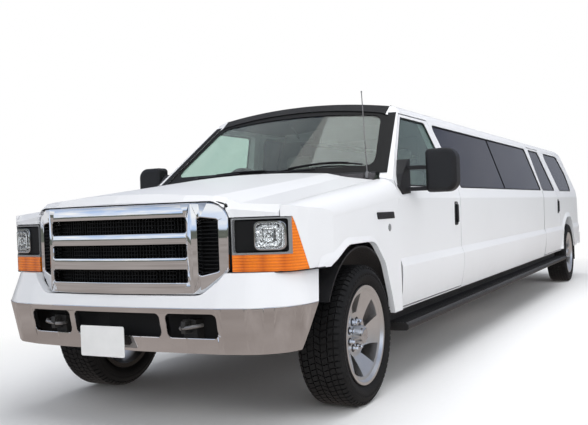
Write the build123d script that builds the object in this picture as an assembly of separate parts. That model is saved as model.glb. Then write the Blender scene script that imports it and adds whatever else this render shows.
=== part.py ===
from build123d import *
from math import atan, cos, degrees, hypot, pi, radians, sin, tan
import os

os.makedirs("parts", exist_ok=True)

# Overall sizes, in millimetres; stations are given from the front axle, forward is positive
wheelbase = 7500
front_overhang = 1005
rear_overhang = 1185
overall_length = front_overhang + wheelbase + rear_overhang
front_axle_x = overall_length / 2 - front_overhang
rear_axle_x = front_axle_x - wheelbase

# Wheels
tyre_radius = 401
tyre_width = 264
wheel_plane_y = 868
sidewall = 118
rim_radius = tyre_radius - sidewall
wheel_room = 99
hub_bore_radius = 40
spindle_radius = 39.6
kingpin_y = 745
kingpin_radius = 18

# Cabin section
rocker_z = 465
rocker_y = 968
bulge_y = 999
bulge_z = 610
crease_y = 1007
crease_z = 742
step_y = 986
step_z = 794
belt_y = 991
belt_z = 1180
sill_y = 972
sill_z = 1270
rail_y = 785
rail_z = 1800
roof_edge_y = 700
roof_edge_z = 1868
roof_crown_z = 1925
wall = 92
frame_wall = 66
roof_wall = 52

# Gaps and panel thicknesses
shut_gap = 9
swing_clearance = 6
seam = 3
skin = 26
glass_thickness = 6
door_draft = tan(radians(10))

# Floor and frame
floor_top_z = 640
floor_thickness = 40
rail_top_z = floor_top_z - floor_thickness
rail_outer_y = 470
rail_width = 80
rail_height = 160
axle_radius = 45
spring_room = 54

# Front end
hood_front_x = 1000
cowl_x = -620
windshield_foot_x = -550
windshield_foot_z = 1388
windshield_run = 579
windshield_rise = 422
windshield_bow_radius = 2900

# Rear end
tail_x = -1065
tail_glass_top_x = tail_x + 200
tail_corner_radius = 150


def at(x):
    return front_axle_x + x


def aft(x):
    return rear_axle_x + x


def outline(points, radius=0):
    if radius:
        return FilletPolyline(*points, radius=radius, close=True)
    return Polyline(*points, close=True)


def side_block(points, y_from, y_to, radius=0):
    wire = outline([(x, y_from, z) for x, z in points], radius)
    return extrude(make_face(wire), amount=abs(y_to - y_from), dir=(0, 1 if y_to > y_from else -1, 0))


def plan_block(points, z_from, z_to, radius=0):
    wire = outline([(x, y, z_from) for x, y in points], radius)
    return extrude(make_face(wire), amount=z_to - z_from, dir=(0, 0, 1))


def front_block(points, x_from, x_to, radius=0):
    wire = outline([(x_from, y, z) for y, z in points], radius)
    return extrude(make_face(wire), amount=x_to - x_from, dir=(1, 0, 0))


def block(x_from, x_to, y_from, y_to, z_from, z_to):
    size = (abs(x_to - x_from), abs(y_to - y_from), abs(z_to - z_from))
    return Pos((x_from + x_to) / 2, (y_from + y_to) / 2, (z_from + z_to) / 2) * Box(*size)


def rod_y(x, y_from, y_to, z, radius):
    body = Cylinder(radius, abs(y_to - y_from))
    return Pos(x, (y_from + y_to) / 2, z) * Rot(90, 0, 0) * body


def rod_x(x_from, x_to, y, z, radius):
    body = Cylinder(radius, abs(x_to - x_from))
    return Pos((x_from + x_to) / 2, y, z) * Rot(0, 90, 0) * body


def rod_z(x, y, z_from, z_to, radius):
    return Pos(x, y, (z_from + z_to) / 2) * Cylinder(radius, z_to - z_from)


def other_side(shape):
    return mirror(shape, about=Plane.XZ)


def both(shape):
    return [shape, other_side(shape)]


def solids_of(shape):
    if isinstance(shape, (list, tuple)):
        return [s for item in shape for s in solids_of(item)]
    return list(shape.solids())


def save(name, shape):
    found = solids_of(shape)
    whole = found[0] if len(found) == 1 else Compound(children=found)
    whole.label = name
    export_step(whole, f"parts/{name}.step")


def side_y(z):
    """Outer half width of the cabin wall at a height."""
    table = ((rocker_z, rocker_y), (crease_z, crease_y), (step_z, step_y), (belt_z, belt_y),
             (sill_z, sill_y), (rail_z, rail_y), (roof_edge_z, roof_edge_y))
    for (z_low, y_low), (z_high, y_high) in zip(table, table[1:]):
        if z <= z_high:
            return y_low + (y_high - y_low) * (z - z_low) / (z_high - z_low)
    return roof_edge_y


def drafted(points, grow=0):
    """Door outline given on the body surface, drawn out inboard along the shut-face draft."""
    placed = [(x - door_draft * (crease_y - side_y(z)), crease_y, z) for x, z in points]
    face = make_face(Polyline(*placed, close=True))
    if grow:
        face = offset(face, grow, kind=Kind.INTERSECTION)
    depth = 420
    length = depth * hypot(1, door_draft)
    inboard = extrude(face, amount=length, dir=(door_draft, -1, 0))
    outboard = extrude(face, amount=length / 4, dir=(-door_draft, 1, 0))
    return inboard + outboard


def section_face(half, crown):
    """Closed section: edges of the left half, mirrored, joined over the crown and along the foot."""
    right = [other_side(edge) for edge in half]
    foot = half[0] @ 0
    foot_line = Line((foot.X, -foot.Y, foot.Z), (foot.X, foot.Y, foot.Z))
    return make_face([*half, *right, crown, foot_line])


def cabin_outer(x):
    half = [
        ThreePointArc((x, rocker_y, rocker_z), (x, bulge_y, bulge_z), (x, crease_y, crease_z)),
        Line((x, crease_y, crease_z), (x, step_y, step_z)),
        Line((x, step_y, step_z), (x, belt_y, belt_z)),
        Line((x, belt_y, belt_z), (x, sill_y, sill_z)),
        Line((x, sill_y, sill_z), (x, rail_y, rail_z)),
        ThreePointArc((x, rail_y, rail_z), (x, rail_y - 26, rail_z + 44), (x, roof_edge_y, roof_edge_z)),
    ]
    crown = ThreePointArc((x, -roof_edge_y, roof_edge_z), (x, 0, roof_crown_z), (x, roof_edge_y, roof_edge_z))
    return section_face(half, crown)


def cabin_inner(x):
    low = rocker_z - 60
    half = [
        Line((x, step_y - wall, low), (x, step_y - wall, sill_z - 20)),
        Line((x, step_y - wall, sill_z - 20), (x, rail_y - frame_wall + 8, rail_z - 10)),
        Line((x, rail_y - frame_wall + 8, rail_z - 10), (x, roof_edge_y - 40, roof_edge_z - roof_wall)),
    ]
    crown = ThreePointArc((x, 40 - roof_edge_y, roof_edge_z - roof_wall), (x, 0, roof_crown_z - roof_wall),
                          (x, roof_edge_y - 40, roof_edge_z - roof_wall))
    return section_face(half, crown)


def windshield_sheet(behind, thickness):
    """Slab of the raked, bowed windshield surface, set back along the car."""
    arc_top = windshield_bow_radius
    reach = 1100
    drop = arc_top - (arc_top ** 2 - reach ** 2) ** 0.5
    x = at(windshield_foot_x) - behind
    low = windshield_foot_z - windshield_rise
    x_low = x + windshield_run
    front = ThreePointArc((x_low - drop, -reach, low), (x_low, 0, low), (x_low - drop, reach, low))
    back = ThreePointArc((x_low - drop - thickness, -reach, low), (x_low - thickness, 0, low),
                         (x_low - drop - thickness, reach, low))
    ends = [Line(front @ 0, back @ 0), Line(front @ 1, back @ 1)]
    face = make_face([front, back, *ends])
    length = 3 * hypot(windshield_run, windshield_rise)
    return extrude(face, amount=length, dir=(-windshield_run, 0, windshield_rise))


def windshield_x(y, z):
    """Station of the windshield surface at a half width and a height."""
    bow = windshield_bow_radius - (windshield_bow_radius ** 2 - y ** 2) ** 0.5
    return at(windshield_foot_x) - bow - (z - windshield_foot_z) * windshield_run / windshield_rise


def pillar_edge(z, behind):
    return (windshield_x(side_y(z), z) - behind, z)


# Cabin tube, open below, trimmed to the raked windshield and the tail
tube_front = at(-430)
tube_rear = aft(tail_x - 60)
tube_length = tube_front - tube_rear
outer = extrude(cabin_outer(tube_rear), amount=tube_length, dir=(1, 0, 0))
inner = extrude(cabin_inner(tube_rear - 50), amount=tube_length + 100, dir=(1, 0, 0))
tail_lines = [(aft(tail_x), 0), (aft(tail_x), sill_z), (aft(tail_glass_top_x), roof_edge_z - 30),
              (aft(tail_glass_top_x + 25), roof_edge_z + 17), (aft(tail_glass_top_x + 110), roof_crown_z + 10)]
tail_trim = side_block([(at(200), 0), *tail_lines, (at(200), roof_crown_z + 60)], -1200, 1200)


def tail_station(z):
    for (x_low, z_low), (x_high, z_high) in zip(tail_lines, tail_lines[1:]):
        if z <= z_high:
            return x_low + (x_high - x_low) * (z - z_low) / (z_high - z_low)
    return tail_lines[-1][0]


def tail_facet(turn):
    """Room inside one facet of the rounded rear corner: the facet leans as the wall and the tail do."""
    back = Vector(-cos(radians(turn)), sin(radians(turn)), 0)
    along = Vector(back.Y, -back.X, 0)
    levels = (0, rocker_z, crease_z, sill_z, rail_z, roof_edge_z, roof_crown_z + 60)
    rim = []
    for z in levels:
        centre = Vector(tail_station(z) + tail_corner_radius, side_y(max(z, rocker_z)) - tail_corner_radius, 0)
        rim.append(back * (back.dot(centre) + tail_corner_radius) + Vector(0, 0, z))
    deep = back * (rim[0].dot(back) - 9000)
    loop = rim + [deep + Vector(0, 0, levels[-1]), deep + Vector(0, 0, levels[0])]
    start = along * -12000
    return extrude(make_face(Polyline(*[point + start for point in loop], close=True)), amount=24000, dir=along)


facet_turns = (18, 45, 72)
tail_room_plan = tail_trim
for turn in facet_turns:
    facet = tail_facet(turn)
    tail_room_plan = tail_room_plan & facet & other_side(facet)
outer = outer & tail_room_plan
ahead_of_glass = windshield_sheet(-1500, 1500)
scuttle_trim = block(at(-595), at(0), -1200, 1200, 0, 1335)
cabin = outer - ahead_of_glass - scuttle_trim
tube = cabin - inner

# Wheel arches, from each axle: x, z; flares stand proud of the panels and fade out round them
front_arch = [(-790, -460), (-400, 590), (-310, 790), (-150, 930), (230, 930), (520, 800), (640, -460)]
rear_arch = [(-640, -460), (-430, 600), (-310, 800), (-150, 905), (180, 905), (440, 770), (530, 600), (620, -460)]
arch_round = 170
flare_reach = 90
flare_base_y = step_y - 8
flare_height = 27
flare_slope = degrees(atan((flare_reach - 8) / flare_height))


def arch_block(points, axle_x):
    return side_block([(axle_x + x, z) for x, z in points], 500, 1200, arch_round)


def arch_flare(points, axle_x):
    lip = make_face(outline([(axle_x + x, flare_base_y, z) for x, z in points], arch_round))
    base = offset(lip, flare_reach, kind=Kind.INTERSECTION)
    band = extrude(base, amount=flare_height, dir=(0, 1, 0), taper=flare_slope)
    return band & block(axle_x - 800, axle_x + 800, 900, 1100, rocker_z + 4, 1200)


tube += arch_flare(rear_arch, rear_axle_x)


# Door outlines on the body surface: x, z
hinge_front_x = at(-600)
door_foot_z = 482
pillar_width = 22
frame_width = 28
door_top_z = rail_z - 5
pane_low_z = sill_z - 8
pane_top_z = rail_z - 25
front_door_points = [(at(-600), door_foot_z), (at(-600), sill_z - 15), pillar_edge(sill_z + 70, pillar_width),
                     pillar_edge(door_top_z, pillar_width), (at(-1870), door_top_z),
                     (at(-2035), sill_z), (at(-2035), door_foot_z)]
rear_door_points = [(aft(1810), door_foot_z), (aft(1810), sill_z), (aft(1735), door_top_z), (aft(1010), door_top_z),
                    (aft(870), sill_z), (aft(700), 1060), (aft(620), 900), (aft(560), 700),
                    (aft(545), door_foot_z)]
window_edge = pillar_width + frame_width
front_door_window = [pillar_edge(sill_z + 185, window_edge), pillar_edge(pane_top_z, window_edge),
                     (at(-1785), pane_top_z), (at(-1945), pane_low_z), (at(-700), pane_low_z)]
rear_door_window = [(aft(1785), pane_low_z), (aft(1690), pane_top_z), (aft(1075), pane_top_z), (aft(900), pane_low_z)]
stretch_window = [(at(-2125), pane_low_z), (at(-1940), pane_top_z), (aft(1895), pane_top_z), (aft(1850), pane_low_z)]
quarter_corner_radius = 80
quarter_window = [(aft(560), pane_low_z), (aft(760), pane_top_z), (aft(-345), pane_top_z), (aft(-560), 1500),
                  (aft(-470), pane_low_z)]

# Body sides: pillar, roof rail, stretch panel and quarter in one stamping each side
left_half = block(tube_rear - 100, tube_front + 100, roof_edge_y, 1300, 0, 2100)
side_left = tube & left_half
side_left -= drafted(front_door_points, shut_gap)
side_left -= drafted(rear_door_points, shut_gap)
side_left -= side_block(stretch_window, 500, 1200, 45)
side_left -= side_block(quarter_window, 500, 1200, quarter_corner_radius)
side_left -= arch_block(rear_arch, rear_axle_x)
bumper_wrap_x = aft(tail_x + 180)
bumper_high_z = 648
side_left -= block(tube_rear - 100, bumper_wrap_x + 10, 500, 1200, 0, bumper_high_z + 10)
side_left = max(side_left.solids(), key=lambda piece: piece.volume)

# Greenhouse glass: flat panes let into the openings
lean = (sill_y - rail_y) / (rail_z - sill_z)


def pane_slab(x_from, x_to, inset):
    low, high = sill_z - 60, rail_z + 20
    points = [(sill_y + 60 * lean - inset, low), (rail_y - 20 * lean - inset, high),
              (rail_y - 20 * lean - inset - glass_thickness, high), (sill_y + 60 * lean - inset - glass_thickness, low)]
    return front_block(points, x_from, x_to)


pane_inset = 10
pane_band = pane_slab(tube_rear, tube_front, pane_inset)
pane_joint = at(-3765)
stretch_panes = pane_band & side_block(stretch_window, 500, 1200, 45)
stretch_panes -= block(pane_joint - 4, pane_joint + 4, 500, 1200, 1000, 2000)
quarter_pane = pane_band & side_block(quarter_window, 500, 1200, quarter_corner_radius)
front_door_pane = pane_band & side_block(front_door_window, 500, 1200, 30)
rear_door_pane = pane_band & side_block(rear_door_window, 500, 1200, 45)

# Doors, each as thick as the whole wall
left_side = block(tube_rear - 100, tube_front + 100, 300, 1300, 0, 2100)
door_front_left = (tube & drafted(front_door_points) & left_side) - side_block(front_door_window, 500, 1200, 30)
door_rear_left = (tube & drafted(rear_door_points) & left_side) - side_block(rear_door_window, 500, 1200, 45)

# Door edges hollowed round the hinge lines so that they swing clear of the panel ahead
hinge_ahead = 45
hinge_y = 945
swing_radius = hypot(hinge_ahead - shut_gap, crease_y - hinge_y) + swing_clearance
front_hinge_x = at(-600) + hinge_ahead
rear_hinge_x = aft(1810) + hinge_ahead
door_front_left -= rod_z(front_hinge_x, hinge_y, 300, sill_z + 60, swing_radius)
door_rear_left -= rod_z(rear_hinge_x, hinge_y, 300, sill_z + 60, swing_radius)

# Door hinges: pins held in pockets of the body, sleeves on arms from the door's inner edge
hinge_levels = (700, 1090)
hinge_half = 36
hinge_pin_radius = 9
hinge_play = 0.1


def hinge_pocket(x, level):
    low, high = level - hinge_half, level + hinge_half
    return rod_z(x, hinge_y, low, high, 33) + block(x - 90, x, hinge_y - 80, hinge_y + 34, low, high)


def hinge_pin(x, level):
    return rod_z(x, hinge_y, level - hinge_half - 4, level + hinge_half + 4, hinge_pin_radius)


def hinge_sleeve(x, level):
    half = hinge_half - 6
    arm = plan_block([(x - 4, hinge_y - 14), (x + 8, hinge_y - 4), (x - 62, hinge_y - 38), (x - 62, hinge_y - 52)],
                     level - half, level + half)
    sleeve = rod_z(x, hinge_y, level - half, level + half, 17) + arm
    return sleeve - rod_z(x, hinge_y, level - half - 1, level + half + 1, hinge_pin_radius + hinge_play)


for level in hinge_levels:
    door_front_left += hinge_sleeve(front_hinge_x, level)
    door_rear_left += hinge_sleeve(rear_hinge_x, level)
    side_left -= hinge_pocket(rear_hinge_x, level)
    side_left += hinge_pin(rear_hinge_x, level)

# Roof between the rails, with the header over the windshield
roof_top = tube & block(tube_rear - 100, tube_front + 100, seam - roof_edge_y, roof_edge_y - seam, 1600, 2100)

# Windshield inside the pillars, from the scuttle to the header
inner_room = extrude(cabin_inner(at(-1700)), amount=1500, dir=(1, 0, 0))
windshield = windshield_sheet(18, 14) & inner_room & block(at(-1700), at(0), -900, 900, 1352, 2000)

# Floor with its sills, scuttle and bulkhead
floor_front = at(-560)
floor_rear = aft(tail_x + 130)
floor_pan = block(floor_rear, floor_front, -880, 880, floor_top_z - floor_thickness, floor_top_z)
sill_beam = block(at(-640), aft(600), 820, 890, rocker_z - 10, floor_top_z - floor_thickness)
wheel_tub = rod_y(rear_axle_x, 560, 1000, tyre_radius, tyre_radius + wheel_room)
floor_pan -= both(wheel_tub)
tub_shell = rod_y(rear_axle_x, 548, 890, tyre_radius, tyre_radius + wheel_room + 12) - wheel_tub
tub_shell &= block(aft(-520), aft(520), 500, 892, floor_top_z - floor_thickness, 1000)
floor_pan += both(sill_beam)
floor_pan += both(tub_shell)
bulkhead = block(at(-585), at(-560), -870, 870, floor_top_z, 1262)
bulkhead += block(at(-585), at(-560), -840, 840, 1250, 1312)
cowl_points = [(at(-585), 1310), (at(-430), 1310), (at(-470), 1345), (at(-585), 1352)]
cowl = side_block(cowl_points, -840, 840)
bulkhead += cowl

# Front end mass: crowned hood over high shoulders, drawn between a nose and a scuttle section
nose_table = ((0, 1232), (560, 1200), (675, 1150), (888, 1132), (990, 1020))
cowl_table = ((0, 1400), (560, 1376), (675, 1348), (868, 1312), (1000, 1182))


def front_section(x, table, inset):
    (y0, z0), (y1, z1), (y2, z2), (y3, z3), (y4, z4) = table
    foot = rocker_z - (inset and 60)
    shoulder_mid = (x, y3 + 0.72 * (y4 - y3) - inset * 0.8, z3 - 0.25 * (z3 - z4) - inset * 0.7)
    half = [
        Line((x, y4 - inset, foot), (x, y4 - inset, z4)),
        ThreePointArc((x, y4 - inset, z4), shoulder_mid, (x, y3, z3 - inset)),
        Line((x, y3, z3 - inset), (x, y2, z2 - inset)),
        Line((x, y2, z2 - inset), (x, y1, z1 - inset)),
    ]
    crown = ThreePointArc((x, -y1, z1 - inset), (x, 0, z0 - inset), (x, y1, z1 - inset))
    return section_face(half, crown)


def front_mass(inset):
    nose = front_section(at(hood_front_x), nose_table, inset)
    scuttle = front_section(at(cowl_x), cowl_table, inset)
    return loft([nose, scuttle], ruled=True)


def rounded_plan(half, inset, z_from, z_to, radius):
    """Plan outline from its left half, corners rounded, drawn in by an even inset and raised."""
    points = half + [(x, -y) for x, y in reversed(half) if y]
    face = make_face(outline([(x, y, z_from) for x, y in points], radius))
    if inset:
        face = offset(face, -inset, kind=Kind.INTERSECTION)
    return extrude(face, amount=z_to - z_from, dir=(0, 0, 1))


front_half = [(at(968), 0), (at(945), 420), (at(905), 590), (at(858), 640), (at(800), 890),
              (at(740), 940), (at(640), 965), (at(300), crease_y - 1), (at(-900), crease_y)]


def front_plan(inset, z_from, z_to):
    return rounded_plan(front_half, inset, z_from, z_to, 90)


front_outer = front_mass(0) & front_plan(0, 300, 1500)
front_inner = front_mass(skin) & front_plan(skin, 300, 1500)
front_skin = front_outer - front_inner


def hood_region(grow):
    rear = ThreePointArc((at(-528) - grow, -852 - grow, 1000), (at(-432) - grow, 0, 1000),
                         (at(-528) - grow, 852 + grow, 1000))
    edge = Polyline((at(-528) - grow, 852 + grow, 1000), (at(1100), 892 + grow, 1000), (at(1100), -892 - grow, 1000),
                    (at(-528) - grow, -852 - grow, 1000))
    return extrude(make_face([rear, edge]), amount=600, dir=(0, 0, 1))


hood_lip_z = 1103
above_lip = block(at(-700), at(1100), -1100, 1100, hood_lip_z, 1600)
hood_nose_wall = skin + 24
hood = front_outer - (front_mass(skin) & front_plan(hood_nose_wall, 300, 1500))
hood = hood & hood_region(0) & above_lip

# Hood nose eased back along each run of the plan: height where the easing starts at each corner
nose_depth = 150
nose_lows = (1196, 1188, 1170, 1146, 1118)
nose_corners = [Vector(x, y, low) for (x, y), low in zip(front_half, nose_lows)]
nose_leads = (0, 0, 0, 26)
nose_overhang = 34
for start, end, lead in zip(nose_corners, nose_corners[1:], nose_leads):
    run = end - start
    along = run.normalized()
    out = Vector(run.Y, -run.X, 0).normalized() + Vector(0, 0, -1)
    inward = out * -1
    first = start - along * lead
    ease = make_face(Polyline(first + out * nose_overhang, first + inward * nose_depth,
                              first + out * nose_overhang + Vector(0, 0, nose_depth + nose_overhang), close=True))
    hood -= both(extrude(ease, amount=run.length + lead, dir=along))
grille_outline = [(-515, 728), (515, 728), (628, 822), (634, 1182), (-634, 1182), (-628, 822)]
grille_corner_radius = 92


def grille_block(grow):
    face = make_face(outline([(at(700), y, z) for y, z in grille_outline], grille_corner_radius))
    if grow:
        face = offset(face, grow, kind=Kind.INTERSECTION)
    return extrude(face, amount=400, dir=(1, 0, 0))


hood -= grille_block(7)
bulkhead -= hood_region(6)
pillar = block(at(-590), at(-520), 866, 990, floor_top_z, 1258) & front_inner
pillar += block(at(-585), at(-560), 860, 880, floor_top_z, 1258)
for level in hinge_levels:
    pillar -= hinge_pocket(front_hinge_x, level)
    pillar += hinge_pin(front_hinge_x, level)
bulkhead += both(pillar)
hood_pin_x = at(-600)
hood_pin_z = 1340
hood_pin_radius = 8
hood_arm_y = 805
hood_slot_half = 19
bulkhead -= both(block(at(-615), at(-440), hood_arm_y - hood_slot_half, hood_arm_y + hood_slot_half, 1245, 1420))
lug = block(hood_pin_x - 9, at(-575), hood_arm_y - 35, hood_arm_y + 35, hood_pin_z - 12, hood_pin_z + 12)
lug -= block(at(-700), at(-440), hood_arm_y - hood_slot_half, hood_arm_y + hood_slot_half, 1245, 1420)
lug += rod_y(hood_pin_x, hood_arm_y - 34, hood_arm_y + 34, hood_pin_z, hood_pin_radius)
bulkhead += both(lug)
arm_points = [(at(-612), 1336), (at(-598), 1352), (at(-524), 1282), (at(-450), 1294), (at(-450), 1277), (at(-532), 1262)]
hood_arm = side_block(arm_points, hood_arm_y - 8, hood_arm_y + 8)
hood_arm += rod_y(hood_pin_x, hood_arm_y - 8, hood_arm_y + 8, hood_pin_z, 13)
hood_arm -= rod_y(hood_pin_x, hood_arm_y - 30, hood_arm_y + 30, hood_pin_z, hood_pin_radius + hinge_play)
hood += both(hood_arm)

lamp_low_z = 832
lamp_high_z = hood_lip_z - 6
lamp_back = [(at(640), lamp_low_z), (at(748), lamp_high_z), (at(1000), lamp_high_z), (at(1000), lamp_low_z)]
fender_side = [(at(-592), rocker_z + 4), (at(700), rocker_z + 4), (at(1100), hood_lip_z - 3), (at(1100), 1500), (at(-592), 1500)]
fender_left = front_skin & side_block(fender_side, 700, 1100)
fender_left += arch_flare(front_arch, front_axle_x) & front_plan(-9, 300, 1500)
fender_left -= hood_region(6)
fender_left -= arch_block(front_arch, front_axle_x)
fender_left -= side_block([(at(636), lamp_low_z - 4), (at(747), hood_lip_z - 3), (at(1100), hood_lip_z - 3),
                           (at(1100), lamp_low_z - 4)], 500, 1200)
fender_left -= block(at(440), at(1100), 500, 1200, 300, lamp_low_z - 4)
well_r = tyre_radius + wheel_room
liner = rod_y(front_axle_x, 484, 973, tyre_radius, well_r + 10) - rod_y(front_axle_x, 494, 1100, tyre_radius, well_r)
liner &= block(at(-540), at(540), 480, 1000, 640, 1000)
liner -= fender_left
fender_left -= block(at(-700), at(-400), 600, 860, 1150, 1500)

# Lamps let into the corners between grille and fender
lamp_mass = front_outer & side_block(lamp_back, 646, 1100)
amber_zone = side_block([(at(500), lamp_low_z), (at(500), 915), (at(1000), 915), (at(1000), lamp_low_z)], 600, 1100)
amber_zone += plan_block([(at(500), 1100), (at(500), 800), (at(700), 925), (at(1000), 960), (at(1000), 1100)], lamp_low_z, lamp_high_z)
turn_lamp = lamp_mass & amber_zone
headlamp = lamp_mass - amber_zone
lamp_cut = front_block([(650, 925), (650, 1090), (918, 1090), (918, 925)], at(700), at(1000), 12)
headlamp -= lamp_cut - front_plan(50, 300, 1500)
lens = (front_plan(3, 300, 1500) - front_plan(9, 300, 1500)) & lamp_cut
lens = lens & block(at(700), at(1000), 646, 1100, 800, 1200)

# Grille: bowed plate with three wide slots and an upright slot at each end
def grille_plan(inset, z_from, z_to):
    c = inset
    arc = ThreePointArc((at(955 - c), 470, z_from), (at(990 - c), 0, z_from), (at(955 - c), -470, z_from))
    rest = Polyline((at(955 - c), -470, z_from), (at(925 - c), -500, z_from), (at(862 - c), -632, z_from),
                    (at(700), -632, z_from), (at(700), 632, z_from), (at(862 - c), 632, z_from),
                    (at(925 - c), 500, z_from), (at(955 - c), 470, z_from))
    return extrude(make_face([arc, rest]), amount=z_to - z_from, dir=(0, 0, 1))


grille = (grille_plan(0, 700, 1200) - grille_plan(48, 700, 1200)) & grille_block(0)
grille_slots = ((1036, 1112), (912, 979), (787, 852))
for z_low, z_high in grille_slots:
    grille -= front_block([(-444, z_low), (444, z_low), (444, z_high), (-444, z_high)], at(700), at(1100), 12)
end_slot = front_block([(492, 816), (584, 838), (584, 1096), (492, 1110)], at(700), at(1100), 14)
grille -= both(end_slot)
grille_mesh = block(at(812), at(830), -555, 555, 745, 1090)

# Front bumper: bright beam below a painted cover
def bumper_plan(inset, z_from, z_to):
    half = [(at(front_overhang), 150), (at(992), 430), (at(975), 620), (at(930), 800), (at(830), 930),
            (at(700), 984), (at(100), 992)]
    return rounded_plan(half, inset, z_from, z_to, 240)


bumper_low = 432
bumper_mid = 665
bumper_end = [(at(455), 828), (at(585), bumper_mid), (at(702), bumper_low - 20), (at(1100), bumper_low - 20), (at(1100), 828)]
cover_slope = 20
beam_slope = 11


def bumper_swell(inset, z_from, z_to, slope):
    """Bumper drawn in from the joint line towards its upper or lower edge."""
    sketch = bumper_plan(inset, z_from, z_from + 1).faces().sort_by(Axis.Z)[0]
    return extrude(sketch, amount=abs(z_to - z_from), dir=(0, 0, 1 if z_to > z_from else -1), taper=slope)


beam = bumper_swell(0, bumper_mid, bumper_low, beam_slope) - bumper_swell(34, bumper_mid, bumper_low - 1, beam_slope)
beam = beam & side_block(bumper_end, -1100, 1100)
bumper_openings = ((-280, 280), (318, 606), (-606, -318))
for y_from, y_to in bumper_openings:
    beam -= front_block([(y_from, 512), (y_to, 512), (y_to, 634), (y_from, 634)], at(800), at(1100), 26)
cover_shape = bumper_swell(4, bumper_mid, 828, cover_slope) - bumper_plan(108, bumper_mid - 1, 900)
cover = cover_shape & side_block(bumper_end, -1100, 1100)
cover -= grille_block(6)
liner -= cover

# Tail: two half doors below a lift-up rear window, inside the ends of the body sides
tail_door_thickness = 80
tail_door_y = step_y - wall - shut_gap
tail_gap = 6
tail_low_z = 665
cargo_door_left = block(aft(tail_x), aft(tail_x + tail_door_thickness), tail_gap, tail_door_y, tail_low_z, sill_z - 18)
tail_room = extrude(offset(cabin_inner(aft(tail_x - 100)), -shut_gap - 4, kind=Kind.INTERSECTION), amount=600, dir=(1, 0, 0))
lift_lines = [(aft(tail_x), sill_z - 6), (aft(tail_glass_top_x), roof_edge_z - 30), (aft(tail_glass_top_x + 45), roof_edge_z - 30),
              (aft(tail_x + 45), sill_z - 6)]
lift_glass = side_block(lift_lines, -900, 900) & tail_room & tail_room_plan

tail_pin_radius = 4.3
tail_pin_y = (tail_door_y + step_y - wall) / 2
tail_pin = rod_z(aft(tail_x), tail_pin_y, tail_low_z - 14, sill_z - 8, tail_pin_radius)
for low in (tail_low_z - 14, sill_z - 14):
    tail_pin += block(aft(tail_x - 4), aft(tail_x + 50), tail_pin_y, step_y - wall + 4, low, low + 6)
side_left += tail_pin
lift_pin_radius = 8
lift_pin_z = roof_edge_z - 30 + lift_pin_radius + 0.5
lift_pin_x = aft(tail_glass_top_x + 8)
lift_pin_half = 330
lift_pin = rod_y(lift_pin_x, -lift_pin_half, lift_pin_half, lift_pin_z, lift_pin_radius)
for y in (-lift_pin_half + 10, 0, lift_pin_half - 10):
    lift_pin += block(lift_pin_x - 2, lift_pin_x + 30, y - 10, y + 10, lift_pin_z, lift_pin_z + 36)
roof_top += lift_pin

# Ladder frame with kicked-up ends, cross members, tow eyes and a rear receiver
rail_top = rail_top_z
rail_low = rail_top - rail_height
rail_kick = tyre_radius + axle_radius + spring_room
rail_inner_y = rail_outer_y - rail_width
rail_points = [(at(985), rail_top), (at(985), rail_kick - 20), (at(700), rail_kick), (at(-640), rail_kick),
               (at(-800), rail_low), (aft(620), rail_low), (aft(460), rail_kick), (aft(-430), rail_kick),
               (aft(-520), rail_kick), (aft(tail_x + 40), rail_kick), (aft(tail_x + 40), rail_top)]
rail = side_block(rail_points, rail_inner_y, rail_outer_y)
beam_room = bumper_swell(34, bumper_mid, bumper_low - 1, beam_slope)
rail -= (bumper_plan(-40, bumper_low - 1, bumper_mid) - beam_room) & block(at(800), at(1200), 0, 600, 300, 900)
cross_stations = (at(760), at(-1500), at(-2600), at(-3700), at(-4800), aft(1500), aft(700), aft(-700), aft(tail_x + 90))
cross_members = []
for station in cross_stations:
    cross_members.append(block(station - 35, station + 35, -rail_inner_y, rail_inner_y, rail_kick + 10, rail_top - 10))
hook_y = (rail_inner_y + rail_outer_y) / 2
hook_z = 568
hook_eye_radius = 17
rail -= block(at(938), at(1100), rail_inner_y - 1, rail_outer_y + 1, hook_z - 34, rail_top + 1)
hook = side_block([(at(930), hook_z - 32), (at(930), hook_z + 30), (at(990), hook_z + 30), (at(996), hook_z),
                   (at(990), hook_z - 32)], hook_y - 13, hook_y + 13, 4)
hook -= rod_y(at(970), hook_y - 60, hook_y + 60, hook_z, hook_eye_radius)
rail += hook
receiver_z = 445
receiver_size = 64
receiver_bore = 51
receiver_pin_radius = 8
receiver_rear = aft(tail_x - 85)
receiver_front = aft(tail_x + 125)
receiver = block(receiver_rear, receiver_front, -receiver_size / 2, receiver_size / 2, receiver_z - receiver_size / 2,
                 receiver_z + receiver_size / 2)
receiver += block(aft(tail_x + 60), aft(tail_x + 120), -32, 32, receiver_z, rail_kick + 20)
receiver -= block(receiver_rear - 1, receiver_front - 20, -receiver_bore / 2, receiver_bore / 2,
                  receiver_z - receiver_bore / 2, receiver_z + receiver_bore / 2)
receiver_pin_x = receiver_rear + 60
receiver -= rod_y(receiver_pin_x, -60, 60, receiver_z, receiver_pin_radius)
cross_members[-1] += receiver

# Axles with leaf springs
axle_z = tyre_radius
spring_width = 70
spring_seat = axle_z + axle_radius
yoke_y = kingpin_y - 62
yoke_half = 72


def leaf_spring(x_axle, y_from, ahead, behind, end_z):
    seat = spring_seat
    points = [(x_axle - behind, end_z), (x_axle - behind, end_z - 24), (x_axle - 130, seat - 1), (x_axle + 130, seat - 1),
              (x_axle + ahead, end_z - 24), (x_axle + ahead, end_z), (x_axle + 130, seat + 36), (x_axle - 130, seat + 36)]
    return side_block(points, y_from, y_from + spring_width)


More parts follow.
